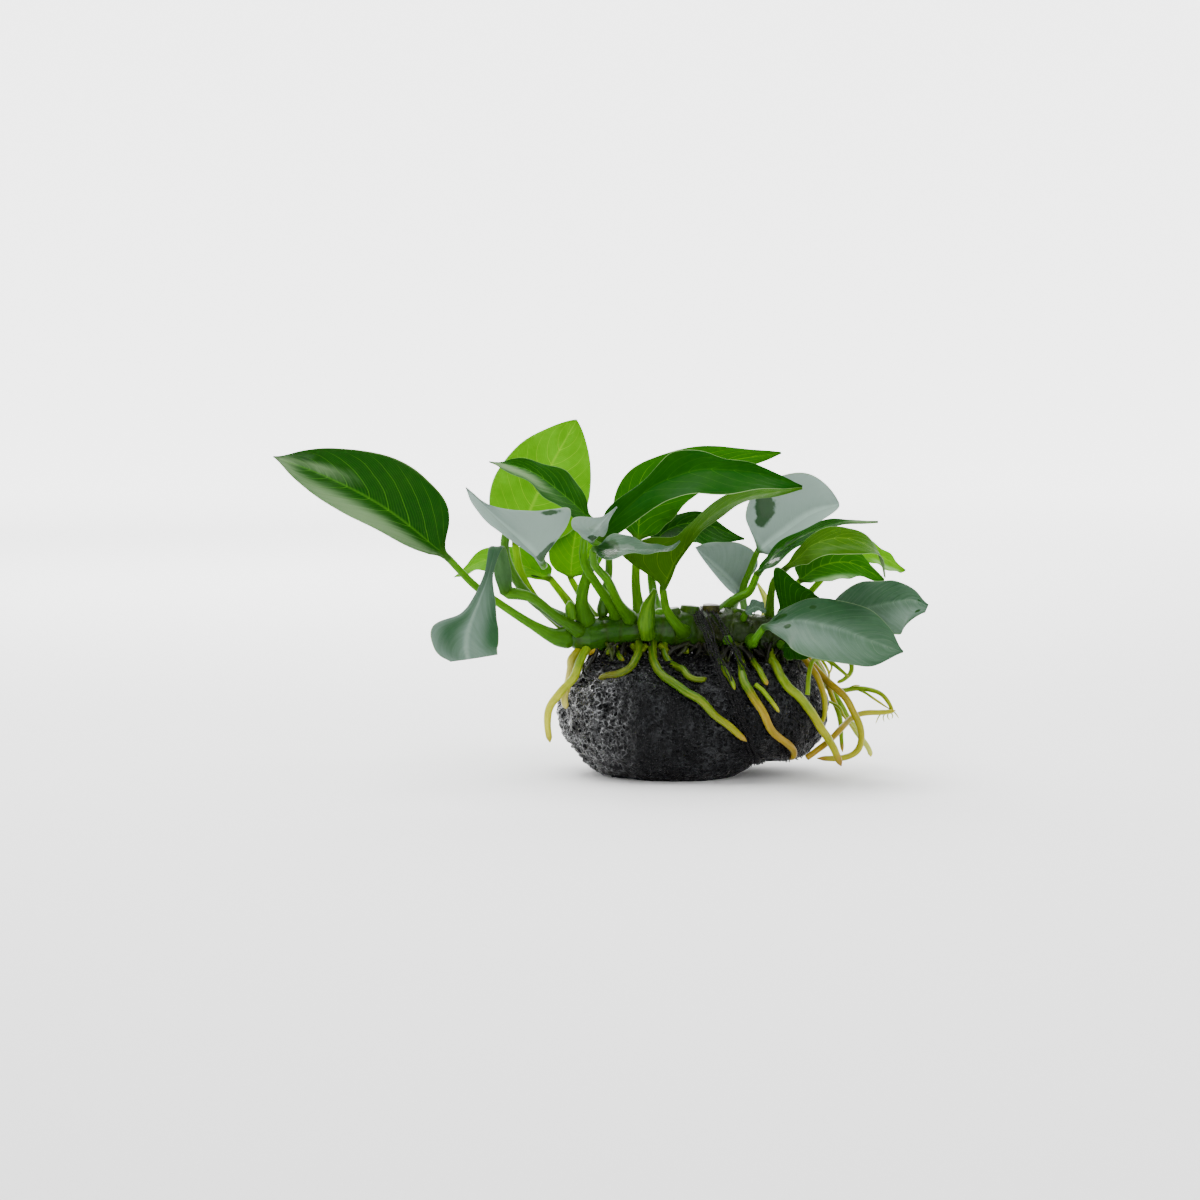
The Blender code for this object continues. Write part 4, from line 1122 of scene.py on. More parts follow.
# %% [markdown]
# ## The stone's finish
#
# This lava is almost black. What makes it read as stone is the light on it: where the stone is coarse, a
# small bright highlight is painted into the colour along each bubble's rim, and dust in the shallow pores
# turns it dark grey. The fine pores are too small to model, so a bump of two sizes of cells makes them.

# %% Stone finish
STONE_BLACK = (0.003, 0.0034, 0.004)
DRY_DUST = (0.024, 0.026, 0.028)
PAINTED_RIM_HIGHLIGHT = (0.19, 0.195, 0.2)
RUST_BROWN = (0.02, 0.015, 0.008)
PORE_SIZES = (620.0, 1600.0)
RIM_SIZE = 560.0


def swayed(tree, space):
    """The object's space, bent a little by noise, so that the pores aren't straight-sided."""
    sway = node(tree, "TexNoise", {"Vector": space, "Scale": 500.0, "Detail": 3.0}).outputs["Color"]
    shift = node(tree, "VectorMath", {0: sway, "Scale": 0.0012}, operation="SCALE").outputs["Vector"]
    return node(tree, "VectorMath", {0: space, 1: shift}, operation="ADD").outputs["Vector"]


def stone_material():
    """Black lava with dust in its pores and highlights painted on its bubble rims where it is coarse."""
    made, tree, shader = new_finish("lava")
    space = node(tree, "TexCoord").outputs["Object"]
    side, _, level = node(tree, "SeparateXYZ", {0: space}).outputs
    bent = swayed(tree, space)
    large, small = (
        soft_step(tree, node(tree, "TexVoronoi", {"Vector": bent, "Scale": size}).outputs["Distance"],
                  0.1, 0.6)
        for size in PORE_SIZES)
    pores = plus(tree, large, times(tree, small, 0.5))
    dust = times(tree, soft_step(tree, pores, 0.9, 1.45), soft_step(tree, grain(tree, 90, 5), 0.4, 0.7))
    colour = blend(tree, dust, STONE_BLACK, DRY_DUST)
    coarse = maths(tree, "MAXIMUM", soft_step(tree, side, -0.018, -0.034),
                   soft_step(tree, level, 0.035, 0.044))
    # painted highlight: bright colour along the bubble rims where the stone is coarse
    edges = node(tree, "TexVoronoi", {"Vector": bent, "Scale": RIM_SIZE}, feature="DISTANCE_TO_EDGE")
    rim_highlights = times(tree, soft_step(tree, edges.outputs["Distance"], 0.16, 0.02), coarse)
    rim_highlights = times(tree, rim_highlights, soft_step(tree, grain(tree, 420, 4), 0.42, 0.6))
    colour = blend(tree, rim_highlights, colour, PAINTED_RIM_HIGHLIGHT)
    brown = times(tree, soft_step(tree, grain(tree, 45, 3), 0.6, 0.8), 0.4)
    colour = blend(tree, brown, colour, RUST_BROWN)
    smooth_spots = times(tree, soft_step(tree, grain(tree, 260, 4), 0.4, 0.62), 0.35)
    normal = relief(tree, pores, 1.0, 0.0012)
    feed(tree, shader, {
        "Base Color": mottled(tree, colour, 300.0, 0.3),
        "Roughness": minus(tree, 0.55, smooth_spots),
        "Specular IOR Level": 0.12,
        "Coat Weight": times(tree, times(tree, coarse, soft_step(tree, pores, 0.5, 1.2)), 0.8),
        "Coat Roughness": 0.15,
        "Normal": normal,
        "Coat Normal": normal,
    })
    return made


stone.data.materials.append(stone_material())
place_on_frame(stone, "stone", "stone")
stone_tree = BVHTree.FromPolygons([v.co / MM for v in stone.data.vertices],
                                  [tuple(p.vertices) for p in stone.data.polygons])
print("stone dressed")

# %% [markdown]
# ## The rhizome
#
# The rhizome is as thick as a finger and ringed with the scars of fallen leaves. Between the scars it
# swells, and old leaf bases leave low bumps on its top. It is fresh green at the growing end on the
# left and dark, almost brown, at the old end on the right.

# %% Rhizome form
RHIZOME = [
    ((-44, -4, 50.5), 3.5), ((-42, -4.5, 50), 5.8), ((-37, -5, 49.5), 6.6), ((-30, -5, 50.5), 5.3),
    ((-19.5, -5, 51.5), 5.6), ((-9, -5, 51.5), 6.6), ((1.5, -4, 51.5), 7.2), ((12, -4, 51), 7.2),
    ((22.5, -4, 49.5), 6.6), ((32, -3, 47.5), 5.4), ((38, -2, 46), 4.2), ((40.5, -2, 45.5), 2.4),
]
SCAR_EVERY = 6.5
SCAR_DEPTH = 0.5
RHIZOME_STEPS = 260
RHIZOME_SIDES = 64
PUSHES = 3


def push_off(points, reach):
    """Moves points out of the stone until they lie at least their reach from its surface."""
    made = []
    for point, distance in zip(points, reach):
        for _ in range(PUSHES):
            near, normal, _, _ = stone_tree.find_nearest(point)
            away = point - near
            if away.dot(normal) < 0:
                point = near + normal * distance
            elif away.length < distance:
                point = near + away.normalized() * distance
        made.append(point)
    return made


def make_rhizome():
    """A thick tube with ring scars that grow deeper towards its old end."""
    places, radii = tapered_line(RHIZOME, RHIZOME_STEPS)
    places = push_off(places, [r * 0.9 for r in radii])
    rings, tubes = [], []
    for i, (place, radius, ways) in enumerate(zip(places, radii, around(places, RHIZOME_SIDES))):
        share = i / (RHIZOME_STEPS - 1)
        end = ease(share, 0.0, 0.02) * ease(1 - share, 0.0, 0.03)
        old = ease(place.x, -16, 6)
        ring, tube = [], []
        for a, out in ways:
            slant = 1.2 * math.sin(a + place.x * 0.35)
            scar = (0.5 + 0.5 * math.cos(2 * math.pi * (place.x + slant) / SCAR_EVERY)) ** 6
            bump = 0.8 * noise.noise((place + out * radius) * 0.09)
            bump += 0.7 * old * noise.fractal((place + out * radius) * 0.3, 1.0, 2.0, 3)
            depth = SCAR_DEPTH * (0.4 + 1.1 * old) * scar
            ring.append(place + out * (radius - depth + bump) * (0.3 + 0.7 * end))
            tube.append((place.x, a, scar))
        rings.append(ring)
        tubes.append(tube)
    return skin("rhizome_skin", rings, {"tube": tubes})


rhizome = make_rhizome()
print("rhizome triangles:", 2 * len(rhizome.data.polygons))

# %% Rhizome finish
YOUNG_RHIZOME = ((0.01, 0.05, 0.0003), (0.026, 0.095, 0.0006))
OLD_RHIZOME = (0.01, 0.026, 0.001)
DEAD_BARK = (0.012, 0.009, 0.004)
SCAR_COLOUR = (0.02, 0.035, 0.003)


def rhizome_material():
    """Green at the young end, dark and barky at the old one, with paler scars."""
    made, tree, shader = new_finish("rhizome skin")
    along, turn, scar = painted_values(tree, "tube")
    streaks = fibre_streaks(tree, along, turn, 4.0)
    uneven = times(tree, minus(tree, grain(tree, 80, 4), 0.5), 16.0)
    old = soft_step(tree, plus(tree, along, uneven), -16.0, 8.0)
    colour = blend(tree, old, blend(tree, times(tree, streaks, 0.5), *YOUNG_RHIZOME), OLD_RHIZOME)
    brown = times(tree, soft_step(tree, grain(tree, 140, 4), 0.5, 0.68), old)
    colour = blend(tree, times(tree, brown, 0.8), colour, DEAD_BARK)
    colour = blend(tree, times(tree, scar, 0.5), colour, SCAR_COLOUR)
    smooth_spots = soft_step(tree, grain(tree, 170, 3), 0.4, 0.6)
    height = times(tree, grain(tree, 420, 5), plus(tree, 0.15, old))
    normal = relief(tree, height, 0.8, 0.0008)
    feed(tree, shader, {
        "Base Color": mottled(tree, colour, 110.0, 0.3),
        "Roughness": minus(tree, 0.34, times(tree, smooth_spots, 0.2)),
        "Specular IOR Level": 0.08,
        "Coat Weight": times(tree, smooth_spots, 0.15),
        "Coat Roughness": 0.1,
        "Normal": normal,
        "Coat Normal": normal,
    })
    return made


rhizome.data.materials.append(rhizome_material())
place_on_frame(rhizome, "rhizome", "rhizome")
print("rhizome dressed")

# %% [markdown]
# ## Shoot and sheath
#
# A young leaf comes up rolled like an umbrella, wrapped in a pale sheath. Both are tapered rolls.

# %% Shoot and sheath
ROLL_STEPS = 40
ROLL_SIDES = 20
ROLLS = [
    ("shoot_01", "shoot", [((23, 1, 51), 1.3), ((25, 6, 59), 1.5), ((22, 8, 66), 0.5)]),
    ("sheath_01", "sheath", [((-17, -10.5, 49), 2.6), ((-17.5, -13, 53.5), 3.0),
                             ((-17, -14, 59.5), 2.5), ((-14.5, -14, 66), 0.8)]),
]
PLANT_SKINS = {
    "shoot": ((0.5, 0.6, 0.05), (0.75, 0.75, 0.2), 0.35),
    "sheath": ((0.025, 0.1, 0.001), (0.08, 0.2, 0.004), 0.2),
    "bud": ((0.035, 0.13, 0.001), (0.07, 0.2, 0.003), 0.1),
    "stump": ((0.01, 0.035, 0.0005), (0.03, 0.07, 0.002), 0.0),
    "cut end": ((0.01, 0.012, 0.002), (0.035, 0.035, 0.006), 0.0),
    "young root": ((0.05, 0.12, 0.001), (0.15, 0.19, 0.006), 0.1),
}


def tube_rings(places, radii, sides, uneven, seed=0.0):
    """Rings of a round tube, with its length, turn and share of the whole length painted on."""
    rings, tubes = [], []
    run = 0.0
    for i, (place, radius, ways) in enumerate(zip(places, radii, around(places, sides))):
        run += (place - places[i - 1]).length if i else 0.0
        ring = []
        for _, out in ways:
            wobble = 1 + uneven * noise.noise((place + out * radius) * 0.25 + Vector((seed, 0, 0)))
            ring.append(place + out * radius * wobble)
        rings.append(ring)
        tubes.append([(run, a, i / (len(places) - 1)) for a, _ in ways])
    return rings, tubes


def roll_material(name):
    """The finish of a shoot, sheath, bud, stump or very young root, by its name in PLANT_SKINS."""
    base, pale, glow = PLANT_SKINS[name]
    made, tree, shader = new_finish(name + " finish")
    run, turn, _ = painted_values(tree, "tube")
    streaks = fibre_streaks(tree, run, turn, 3.0)
    colour = blend(tree, streaks, base, pale)
    colour = mottled(tree, colour, 200.0, 0.2)
    feed(tree, shader, {"Base Color": colour, "Roughness": 0.3, "Specular IOR Level": 0.1})
    let_light_through(tree, shader, colour, glow)
    return made


for name, slot, along in ROLLS:
    rings, tubes = tube_rings(*tapered_line(along, ROLL_STEPS), ROLL_SIDES, 0.1)
    piece = skin(name + "_skin", rings, {"tube": tubes})
    piece.data.materials.append(roll_material(slot))
    place_on_frame(piece, slot, name)
print("rolls:", len(ROLLS))

# %% [markdown]
# ## The roots
#
# Roots are about as thick as a pencil lead, green where light reaches them and yellow to tan towards
# their tips. Those in front cling to the stone. Those at the right end hang free and curl.

# %% Root routes
ROOTS = [
    ("root_01", 1.5, [(-39, -6, 45.5), (-43.5, -8, 41.5), (-43.5, -9, 38), (-44.5, -12.5, 33),
                      (-46, -15, 28.5), (-45, -15.5, 24.5)]),
    ("root_02", 1.5, [(-37, -7, 47), (-40.5, -13, 41), (-42.5, -17, 35.5), (-47, -18, 31),
                      (-50.5, -18, 26), (-52, -17, 20), (-51, -16, 13)]),
    ("root_03", 1.3, [(-32, -6, 48.5), (-35, -8, 45), (-38, -7.5, 42.5)]),
    ("root_04", 1.2, [(-29, -7, 49), (-28, None, 43), (-25.5, None, 41)]),
    ("root_05", 1.4, [(-20, -7, 47.5), (-20.5, -15, 44), (-23, None, 39.5), (-28, None, 37),
                      (-34, None, 35.5)]),
    ("root_06", 1.5, [(-15, -6, 49), (-15.5, None, 41.5), (-12.5, None, 37), (-5.5, None, 33),
                      (0.5, None, 30), (6, None, 24.5), (11, None, 20.5), (16.5, None, 15.5)]),
    ("root_07", 1.3, [(-11, -6, 49), (-11, None, 41.5), (-7, None, 39), (-4, None, 37.5),
                      (-1, None, 36), (3, None, 36.5)]),
    ("root_08", 1.3, [(5.5, -7, 48), (7, None, 42), (9, None, 39), (12.5, None, 33)]),
    ("root_09", 1.5, [(14, -7, 48), (15, None, 40), (15.5, None, 36), (17, None, 33.5),
                      (18.5, None, 31), (21.5, None, 26.5), (24, None, 21), (27.5, None, 16.5),
                      (33, None, 11.5), (32.5, None, 7)]),
    ("root_10", 0.9, [(19.5, None, 34.5), (22, None, 33), (24, None, 30.5), (27.5, None, 25.5)]),
    ("root_11", 1.2, [(18, -6.5, 46.5), (19, None, 41), (21.5, None, 38.5), (23.5, None, 34.5)]),
    ("root_12", 1.6, [(25, -6, 47), (26, None, 40), (28.5, None, 36), (31, None, 33),
                      (35, None, 29.5), (39.5, None, 23.5), (43, -22, 18), (46, -20, 13.5),
                      (48, -19, 9), (50, -19, 5)]),
    ("root_13", 0.8, [(37.5, -28, 31), (38, -26, 37), (39.5, -22, 42), (44.5, -18, 42),
                      (48.5, -20, 39.5), (52, -21, 36)]),
    ("root_14", 1.3, [(36, -3, 45), (42.5, -6, 36), (47.5, -9, 32), (51.5, -10, 28),
                      (54.5, -10, 23), (57, -9, 17), (57.5, -8, 11), (55, -8, 7.5),
                      (49, -10, 6.5), (42, -14, 7)]),
    ("root_15", 0.9, [(38.5, -1, 45.5), (46.5, 5, 32), (51, 6, 28.5), (56.5, 6, 29),
                      (62.5, 5, 28.5), (66, 4, 27), (68.5, 3, 23.5), (69.5, 3, 21)]),
    ("root_16", 1.1, [(38, -19, 8), (42, -17, 10.5), (49, -12, 15.5), (54.5, -3, 19.5),
                      (60, 0, 21), (65.5, 1, 21), (70.5, 2, 21.5)]),
    ("root_17", 1.0, [(36, -1, 46), (44, 9, 37.5), (48.5, 13, 26), (51, 13, 19), (52, 13, 13.5),
                      (52.5, 13, 5.5)]),
    ("root_18", 1.2, [(31, 0, 47), (36, 11, 42.5), (41, 17, 36), (47, 20, 29), (52, 20, 22),
                      (56, 20, 15), (60, 21, 9.5), (62.5, 21, 5.5), (63.5, 21, 2.5)]),
    ("root_19", 0.9, [(38, -4, 46.5), (46.5, -11, 44), (52.5, -14, 42), (53.5, -14.5, 37.5),
                      (51, -15, 34.5), (48.5, -16, 33.5)]),
    ("root_20", 1.1, [(33, -6, 46), (40, -16, 38.5), (43.5, -16, 31.5), (44.5, -15, 25),
                      (43.5, -14, 19)]),
]
print("roots:", len(ROOTS))

# %% Root finish
ROOT_TIP = (0.26, 0.14, 0.02)
ROOT_STREAK = (0.42, 0.42, 0.04)
ROOT_TIP_STARTS = 0.9


def root_material(name, young, tip, turn_at):
    """Green at the rhizome, yellow further on, tan at the tip."""
    made, tree, shader = new_finish(name)
    run, turn, share = painted_values(tree, "tube")
    at = plus(tree, share, times(tree, minus(tree, grain(tree, 120, 3), 0.5), 0.5))
    colour = blend(tree, soft_step(tree, at, turn_at - 0.25, turn_at + 0.25), young, tip)
    colour = blend(tree, soft_step(tree, at, ROOT_TIP_STARTS, 1.08), colour, ROOT_TIP)
    streaks = fibre_streaks(tree, run, turn, 2.0)
    colour = blend(tree, times(tree, streaks, 0.2), colour, ROOT_STREAK)
    feed(tree, shader, {
        "Base Color": mottled(tree, colour, 180.0, 0.25),
        "Roughness": 0.3,
        "Specular IOR Level": 0.12,
        "Subsurface Weight": 0.1,
        "Subsurface Radius": (0.6, 0.5, 0.1),
        "Subsurface Scale": 0.001,
        "Normal": relief(tree, grain(tree, 700, 4), 0.35, 0.0002),
    })
    return made


GREEN = (0.022, 0.09, 0.0003)
LIME = (0.1, 0.2, 0.0005)
YELLOW = (0.26, 0.26, 0.006)
TAN = (0.24, 0.15, 0.008)
ROOT_COLOURS = {
    "root_01": (YELLOW, (0.5, 0.45, 0.1), 0.3), "root_02": (LIME, (0.4, 0.4, 0.02), 0.4),
    "root_03": (YELLOW, TAN, 0.6),
    "root_04": (GREEN, GREEN, 0.5), "root_05": (GREEN, (0.06, 0.07, 0.004), 0.6),
    "root_06": (GREEN, (0.18, 0.17, 0.006), 0.75), "root_07": (GREEN, (0.05, 0.08, 0.002), 0.8),
    "root_08": (GREEN, LIME, 0.8), "root_09": (GREEN, TAN, 0.5), "root_10": (LIME, YELLOW, 0.8),
    "root_11": (GREEN, LIME, 0.6), "root_12": (LIME, YELLOW, 0.5), "root_13": (LIME, LIME, 0.5),
    "root_14": (TAN, YELLOW, 0.4), "root_15": (LIME, YELLOW, 0.8), "root_16": (TAN, YELLOW, 0.5),
    "root_17": (TAN, LIME, 0.4), "root_18": (LIME, (0.45, 0.48, 0.08), 0.7),
    "root_19": (GREEN, LIME, 0.5), "root_20": (TAN, YELLOW, 0.5),
}
print("root finish ready")

# %% Make the roots
ROOT_STEPS = 12
ROOT_SIDES = 18
ROOT_BEND = 0.5
ROOT_CLEARANCE = 0.75
ROOT_SINK = 0.2
ROOT_TAPER = 0.3
SETTLING = 12


def on_stone(place, radius):
    """The place as given, or on the front of the stone where it has no depth of its own."""
    x, y, z = place
    if y is not None:
        return Vector(place)
    hit, _, _, _ = stone_tree.ray_cast(Vector((x, -200, z)), Vector((0, 1, 0)))
    return hit + Vector((0, -1, 0)) * radius * (1 - ROOT_SINK)


def settled(places, rounds):
    """The same line with its small bumps averaged away; both ends stay."""
    for _ in range(rounds):
        places = [places[0]] + [
            (a + b + c) / 3 for a, b, c in zip(places, places[1:], places[2:])] + [places[-1]]
    return places


def make_root(number, name, radius, route):
    """One thick root: bent a little by noise, kept off the stone and then smoothed."""
    steps = ROOT_STEPS * len(route)
    places = smooth([on_stone(place, radius) for place in route], steps)
    bend = [Vector((noise.noise(p * 0.15 + Vector((number, 0, 0))),
                    noise.noise(p * 0.15 + Vector((0, number, 9))),
                    noise.noise(p * 0.15 + Vector((5, 0, number))))) * ROOT_BEND for p in places]
    places = [p + b * ease(i / steps, 0, 0.15) for i, (p, b) in enumerate(zip(places, bend))]
    radii = []
    for i in range(steps):
        t = i / (steps - 1)
        tip = math.sqrt(max(0.0, 1 - ease(t, 0.93, 1.0) ** 2 * 0.95))
        radii.append(radius * (1 - ROOT_TAPER * t**3) * tip)
    places = settled(push_off(places, [ROOT_CLEARANCE * r for r in radii]), SETTLING)
    rings, tubes = tube_rings(places, radii, ROOT_SIDES, 0.08, number)
    made = skin(name + "_skin", rings, {"tube": tubes})
    young, tip, turn_at = ROOT_COLOURS[name]
    made.data.materials.append(root_material(name + " finish", young, tip, turn_at))
    place_on_frame(made, "root", name)
    return made


root_pieces = [make_root(k, *row) for k, row in enumerate(ROOTS)]
print("root triangles:", sum(2 * len(p.data.polygons) for p in root_pieces))

# %% [markdown]
# ## Rootlets, old roots and stumps
#
# Fine rootlets fork off at the right. Under the rhizome a mat of short dead roots and dirt fills the
# crevice down to the stone. On the rhizome sit dormant buds and the stumps of leaves that were cut.

# %% Rootlets
ROOTLETS = [
    (0.45, [(56.5, 6, 29), (60, 5, 27.5), (63, 4.5, 25.5), (66, 4, 23.5), (68.5, 3, 22)]),
    (0.5, [(44, -4, 27), (47, 0, 25), (50.5, 0, 23), (52, 0, 20), (54.5, 0, 17), (56.5, 0, 14.5)]),
    (0.3, [(54, 6, 29), (56, 5.5, 30), (58, 5, 30.2)]),
    (0.5, [(41, -12, 44), (43.5, -14, 41), (45.5, -15, 37.5), (46, -13, 34)]),
    (0.4, [(44.5, -18, 42), (46.5, -17, 39.5), (45.5, -15, 36)]),
    (0.22, [(66, 2, 21), (64.5, 2, 19.5), (63.5, 2.5, 17)]),
    (0.22, [(67, 2, 21), (66, 1, 19.5), (66.3, 1, 17.8)]),
    (0.22, [(68, 2, 21.3), (67.6, 2, 19.5), (68.4, 2.5, 18.2)]),
    (0.22, [(69.5, 2, 21.4), (70.5, 2, 20.5), (71.5, 1.5, 19)]),
    (0.2, [(68.6, 2, 21.3), (69.4, 2.4, 19.8), (69.2, 3, 18.6)]),
]


def joined(name, pieces):
    """Several skins joined into one object."""
    with bpy.context.temp_override(active_object=pieces[0], selected_editable_objects=pieces):
        bpy.ops.object.join()
    pieces[0].name = name
    return pieces[0]


def sprig(name, route, radius, tip, seed, sides):
    """A short tube along a route that narrows at its tip; tip is how much of its radius is lost."""
    steps = 6 * len(route)
    radii = [radius * math.sqrt(1 - tip * ease(i / (steps - 1), 0.5, 1.0) ** 2) for i in range(steps)]
    rings, tubes = tube_rings(smooth(route, steps), radii, sides, 0.1, seed)
    return skin(name, rings, {"tube": tubes})


rootlets = joined("rootlets", [sprig(f"rootlet_{k}", route, radius, 0.8, k, 8)
                               for k, (radius, route) in enumerate(ROOTLETS)])
rootlets.data.materials.append(root_material("rootlet finish", LIME, (0.4, 0.4, 0.04), 0.5))
place_on_frame(rootlets, "root")
print("rootlets:", len(ROOTLETS))

# %% Old roots and dirt
MAT_ROOTS = 130
MAT_START = -36
MAT_LENGTH = 74
DIRT_STEPS = 90
DIRT = (0.008, 0.008, 0.004)
ALGAE_GREEN = (0.03, 0.05, 0.002)
PALE_FIBRE = (0.16, 0.15, 0.01)


def mat_root(k, pick):
    """One dead root from the underside of the rhizome down to the stone."""
    x = MAT_START + MAT_LENGTH * k / MAT_ROOTS
    start = Vector((x, -5 + pick.uniform(-5.5, 5), 47))
    aim = start + Vector((pick.uniform(-9, 9), pick.uniform(-5, 2), -6))
    end, normal, _, _ = stone_tree.find_nearest(aim)
    middle = (start + end) / 2 + Vector((pick.uniform(-2, 2), pick.uniform(-1.5, 0), 0.8))
    return sprig(f"old_root_{k}", [start, middle, end - normal * 0.3], pick.uniform(0.4, 0.9), 0.5, k, 7)


def make_dirt():
    """The dirt that fills the crevice behind the dead roots."""
    line = smooth([place for place, _ in RHIZOME[2:-1]], DIRT_STEPS)
    places = [p + Vector((0, 1, -5.5)) for p in line]
    shares = [0.04 + 0.92 * i / (DIRT_STEPS - 1) for i in range(DIRT_STEPS)]
    radii = [3.4 * math.sin(math.pi * share) ** 0.4 for share in shares]
    rings, tubes = tube_rings(places, radii, 24, 0.5)
    return skin("dirt", rings, {"tube": tubes})


def old_root_material():
    """Dirt and algae with a few pale fibres."""
    made, tree, shader = new_finish("dead root and dirt")
    colour = blend(tree, soft_step(tree, grain(tree, 130, 3), 0.5, 0.7), DIRT, ALGAE_GREEN)
    pale = times(tree, soft_step(tree, grain(tree, 240, 3), 0.62, 0.75), 0.5)
    feed(tree, shader, {
        "Base Color": blend(tree, pale, colour, PALE_FIBRE),
        "Roughness": 0.4,
        "Specular IOR Level": 0.2,
        "Normal": relief(tree, grain(tree, 900, 4), 0.8, 0.0004),
    })
    return made


pick = random.Random(4)
old_roots = joined("old_root_mat", [mat_root(k, pick) for k in range(MAT_ROOTS)] + [make_dirt()])
old_roots.data.materials.append(old_root_material())
place_on_frame(old_roots, "root")
print("old roots:", MAT_ROOTS)

# %% Buds, stumps and young roots
GROWTHS = [
    ("bud", (-43.5, -9, 55), (-0.1, -0.1, 1), 6.5, 2.0, 0.9),
    ("bud", (-13, -6, 54.5), (0.1, -0.2, 1), 4.0, 2.4, 0.8),
    ("bud", (10.5, -9.5, 47.5), (0.1, -1, 0.3), 3.5, 1.8, 0.9),
    ("stump", (-8, -6, 54), (-0.2, -0.1, 1), 4.6, 3.4, 0.3),
    ("stump", (-2.5, -5, 55), (0.1, 0, 1), 4.4, 3.6, 0.25),
    ("stump", (14, -4, 55), (0.2, 0, 1), 3.2, 3.2, 0.3),
    ("cut", (5, -5, 54.5), (0.05, -0.1, 1), 5.2, 3.2, 0.1),
]
GROWTHS += [
    ("young", (x, -9, 46), (lean, -0.6, -0.8), length, 1.15, 0.9)
    for x, lean, length in ((-28, -0.9, 5), (-22.5, 0.8, 4.5), (-17.5, -0.7, 5.5), (-13, 1.1, 5),
                            (-5, 0.6, 4))
]
GROWTH_SKINS = {"bud": "bud", "stump": "stump", "cut": "cut end", "young": "young root"}


def growth(number, place, aim, length, radius, tip):
    """One bud, stump or young root on the rhizome."""
    start = Vector(place)
    along = Vector(aim).normalized() * length
    return sprig(f"growth_{number}", [start, start + along * 0.5, start + along], radius, tip, number, 20)


for kind, skin_name in GROWTH_SKINS.items():
    grown = [growth(k, *row[1:]) for k, row in enumerate(GROWTHS) if row[0] == kind]
    piece = joined(kind + "_growths", grown)
    piece.data.materials.append(roll_material(skin_name))
    place_on_frame(piece, "root" if kind == "young" else "rhizome")
print("growths:", len(GROWTHS))

# %% [markdown]
# ## The thread
#
# The thread is wound round the plant and the stone several times in each place. Each winding is drawn
# tight: its line is the outermost edge of everything it passes round, in a plane of its own.

# %% The thread
THREAD_RADIUS = 0.2
THREAD_WAVER = 1.6
THREAD_STEP = 1.2
THREAD_SIDES = 6
THREAD_DARK = (0.002, 0.002, 0.002)
THREAD_LIGHT = (0.01, 0.01, 0.011)
THREADS = [
    ("tie_thread_01", (0.0, 0, 40.8), (-0.03, 0.03, 1.0), 8, (0.002, 0.004, 0.42)),
    ("tie_thread_02", (4.0, -4, 50), (0.93, 0.0, 0.36), 9, (0.5, 0.0, 0.0)),
    ("tie_thread_03", (8.5, -4, 50), (0.9, 0.12, 0.42), 4, (0.8, 0.0, 0.0)),
    ("tie_thread_04", (35.5, -4, 44), (0.99, -0.12, 0.05), 3, (0.7, 0.0, 0.0)),
]


def sections(bodies, place, normal, across, up):
    """Where a plane cuts the bodies, as flat points around its own place."""
    flat = []
    for body in bodies:
        co = np.empty(len(body.data.vertices) * 3)
        body.data.vertices.foreach_get("co", co)
        away = co.reshape(-1, 3) / MM - np.array(place)
        level = away @ np.array(normal)
        edges = np.empty(len(body.data.edges) * 2, int)
        body.data.edges.foreach_get("vertices", edges)
        a, b = edges.reshape(-1, 2).T
        cut = level[a] * level[b] < 0
        share = (level[a] / (level[a] - level[b]))[cut][:, None]
        points = away[a[cut]] * (1 - share) + away[b[cut]] * share
        flat += [Vector((p @ np.array(across), p @ np.array(up))) for p in points]
    return flat


def even_line(corners, step):
    """Places spread evenly along a closed line of corners, about a step apart."""
    sides = [(after - corner).length for corner, after in zip(corners, corners[1:] + corners[:1])]
    whole = sum(sides)
    count = round(whole / step)
    made, i, passed = [], 0, 0.0
    for k in range(count):
        run = whole * k / count
        while run > passed + sides[i]:
            passed += sides[i]
            i += 1
        after = corners[(i + 1) % len(corners)]
        made.append(corners[i].lerp(after, (run - passed) / sides[i]))
    return made


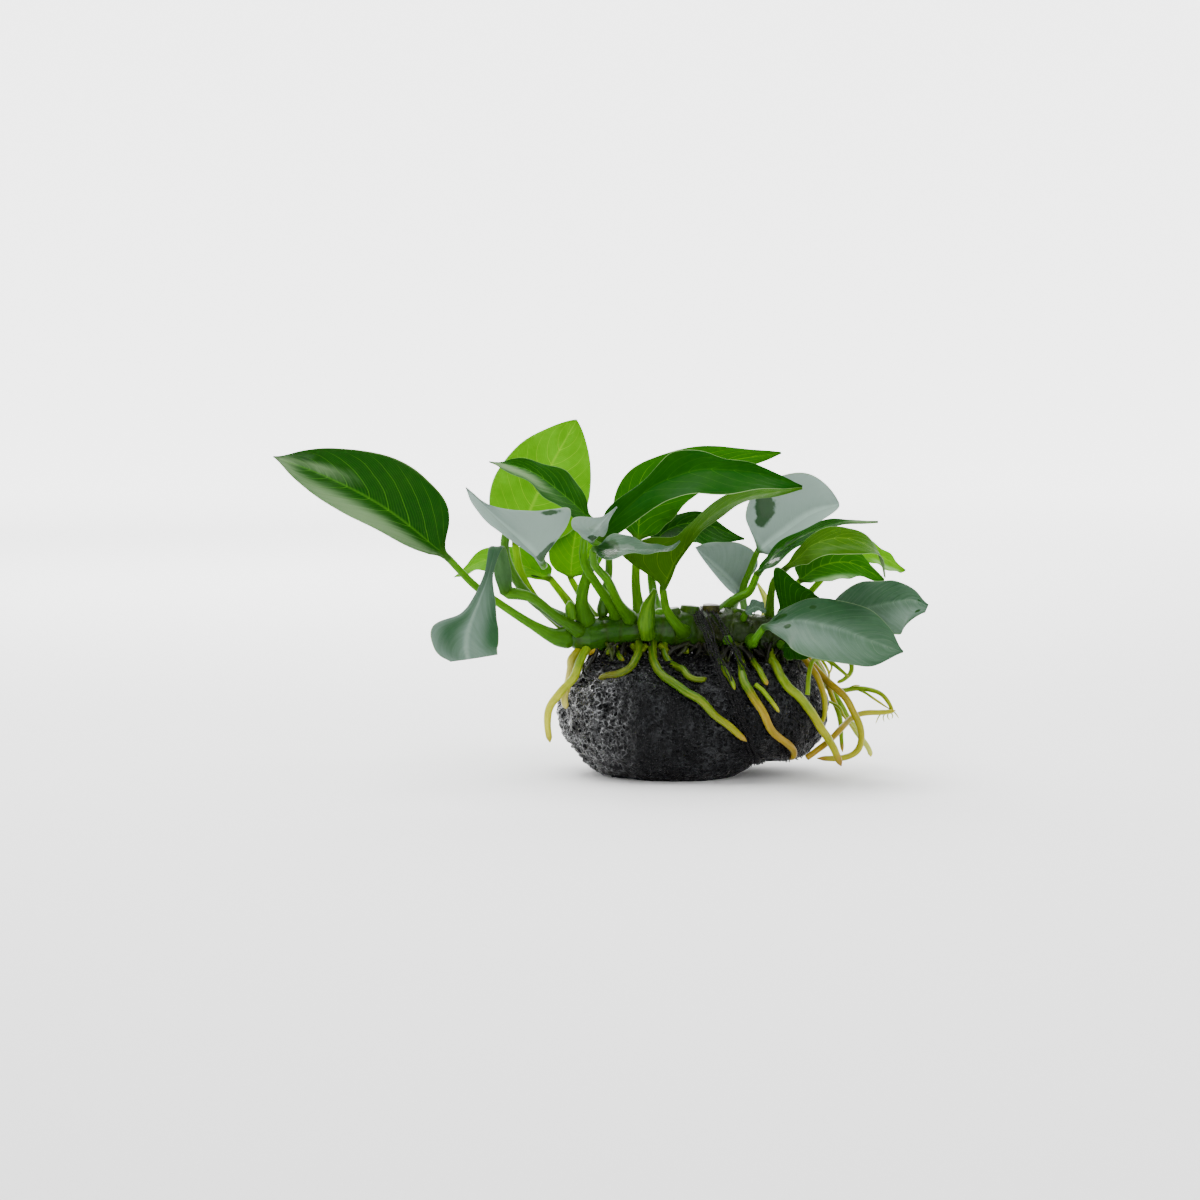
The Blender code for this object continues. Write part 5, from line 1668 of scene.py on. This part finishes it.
def winding(bodies, place, normal, lift, seed):
    """One tight loop around the bodies, in the plane through place, that wavers a little."""
    across = square_to(Vector((0, 1, 0)), normal)
    up = normal.cross(across)
    flat = sections(bodies, place, normal, across, up)
    hull = [flat[k] for k in convex_hull_2d(flat)]
    middle = sum(hull, Vector((0, 0))) / len(hull)
    hull = [h + (h - middle).normalized() * lift for h in hull]
    line = [place + across * p.x + up * p.y for p in even_line(hull, THREAD_STEP)]
    return [p + normal * THREAD_WAVER * noise.noise(p * 0.12 + Vector((0, 0, seed))) for p in line]


def thread_material():
    """Black thread: its twisted strands run slantwise round it."""
    made, tree, shader = new_finish("black thread")
    run, turn, _ = painted_values(tree, "tube")
    twist = plus(tree, times(tree, run, 5.0), times(tree, turn, 2.0))
    strands = times(tree, maths(tree, "SINE", twist), 0.5)
    feed(tree, shader, {
        "Base Color": blend(tree, soft_step(tree, strands, -0.2, 0.5), THREAD_DARK, THREAD_LIGHT),
        "Roughness": 0.4,
        "Specular IOR Level": 0.15,
        "Normal": relief(tree, strands, 0.8, 0.0002),
    })
    return made


THREAD_FINISH = thread_material()
wrapped = [stone, rhizome]
for number, (name, place, normal, turns, shift) in enumerate(THREADS):
    normal = Vector(normal).normalized()
    loops = []
    for k in range(turns):
        wander = Vector(shift) * (k - (turns - 1) / 2)
        tilt = Vector((0, 0.03 * math.sin(7 * k + number), 0.04 * math.cos(5 * k + number)))
        line = winding(wrapped, Vector(place) + wander, (normal + tilt).normalized(),
                       0.1 + THREAD_RADIUS * (1 + k % 3), 3 * k + number)
        rings, tubes = tube_rings(line, [THREAD_RADIUS] * len(line), THREAD_SIDES, 0.0)
        loops.append(skin(f"{name}_{k}", rings, {"tube": tubes}, closed=True))
    made = joined(name + "_windings", loops)
    made.data.materials.append(THREAD_FINISH)
    place_on_frame(made, "thread", name)
print("thread windings:", sum(row[3] for row in THREADS))

# %% Backdrop finish
def backdrop_material():
    """White card that glows, more the further it stands behind the plant, and so lights the plant from
    behind.
    """
    made, tree, shader = new_finish("glowing white card")
    back = node(tree, "SeparateXYZ", {0: node(tree, "TexCoord").outputs["Object"]}).outputs["Y"]
    feed(tree, shader, {
        "Base Color": (0.88, 0.88, 0.88, 1),
        "Roughness": 0.7,
        "Specular IOR Level": 0.0,
        # the card glows: this emission lights the plant from behind
        "Emission Color": (1, 1, 1, 1),
        "Emission Strength": times(tree, soft_step(tree, back, 0.1, 1.6), 2.5),
    })
    return made


backdrop.data.materials.append(backdrop_material())
print("backdrop dressed")
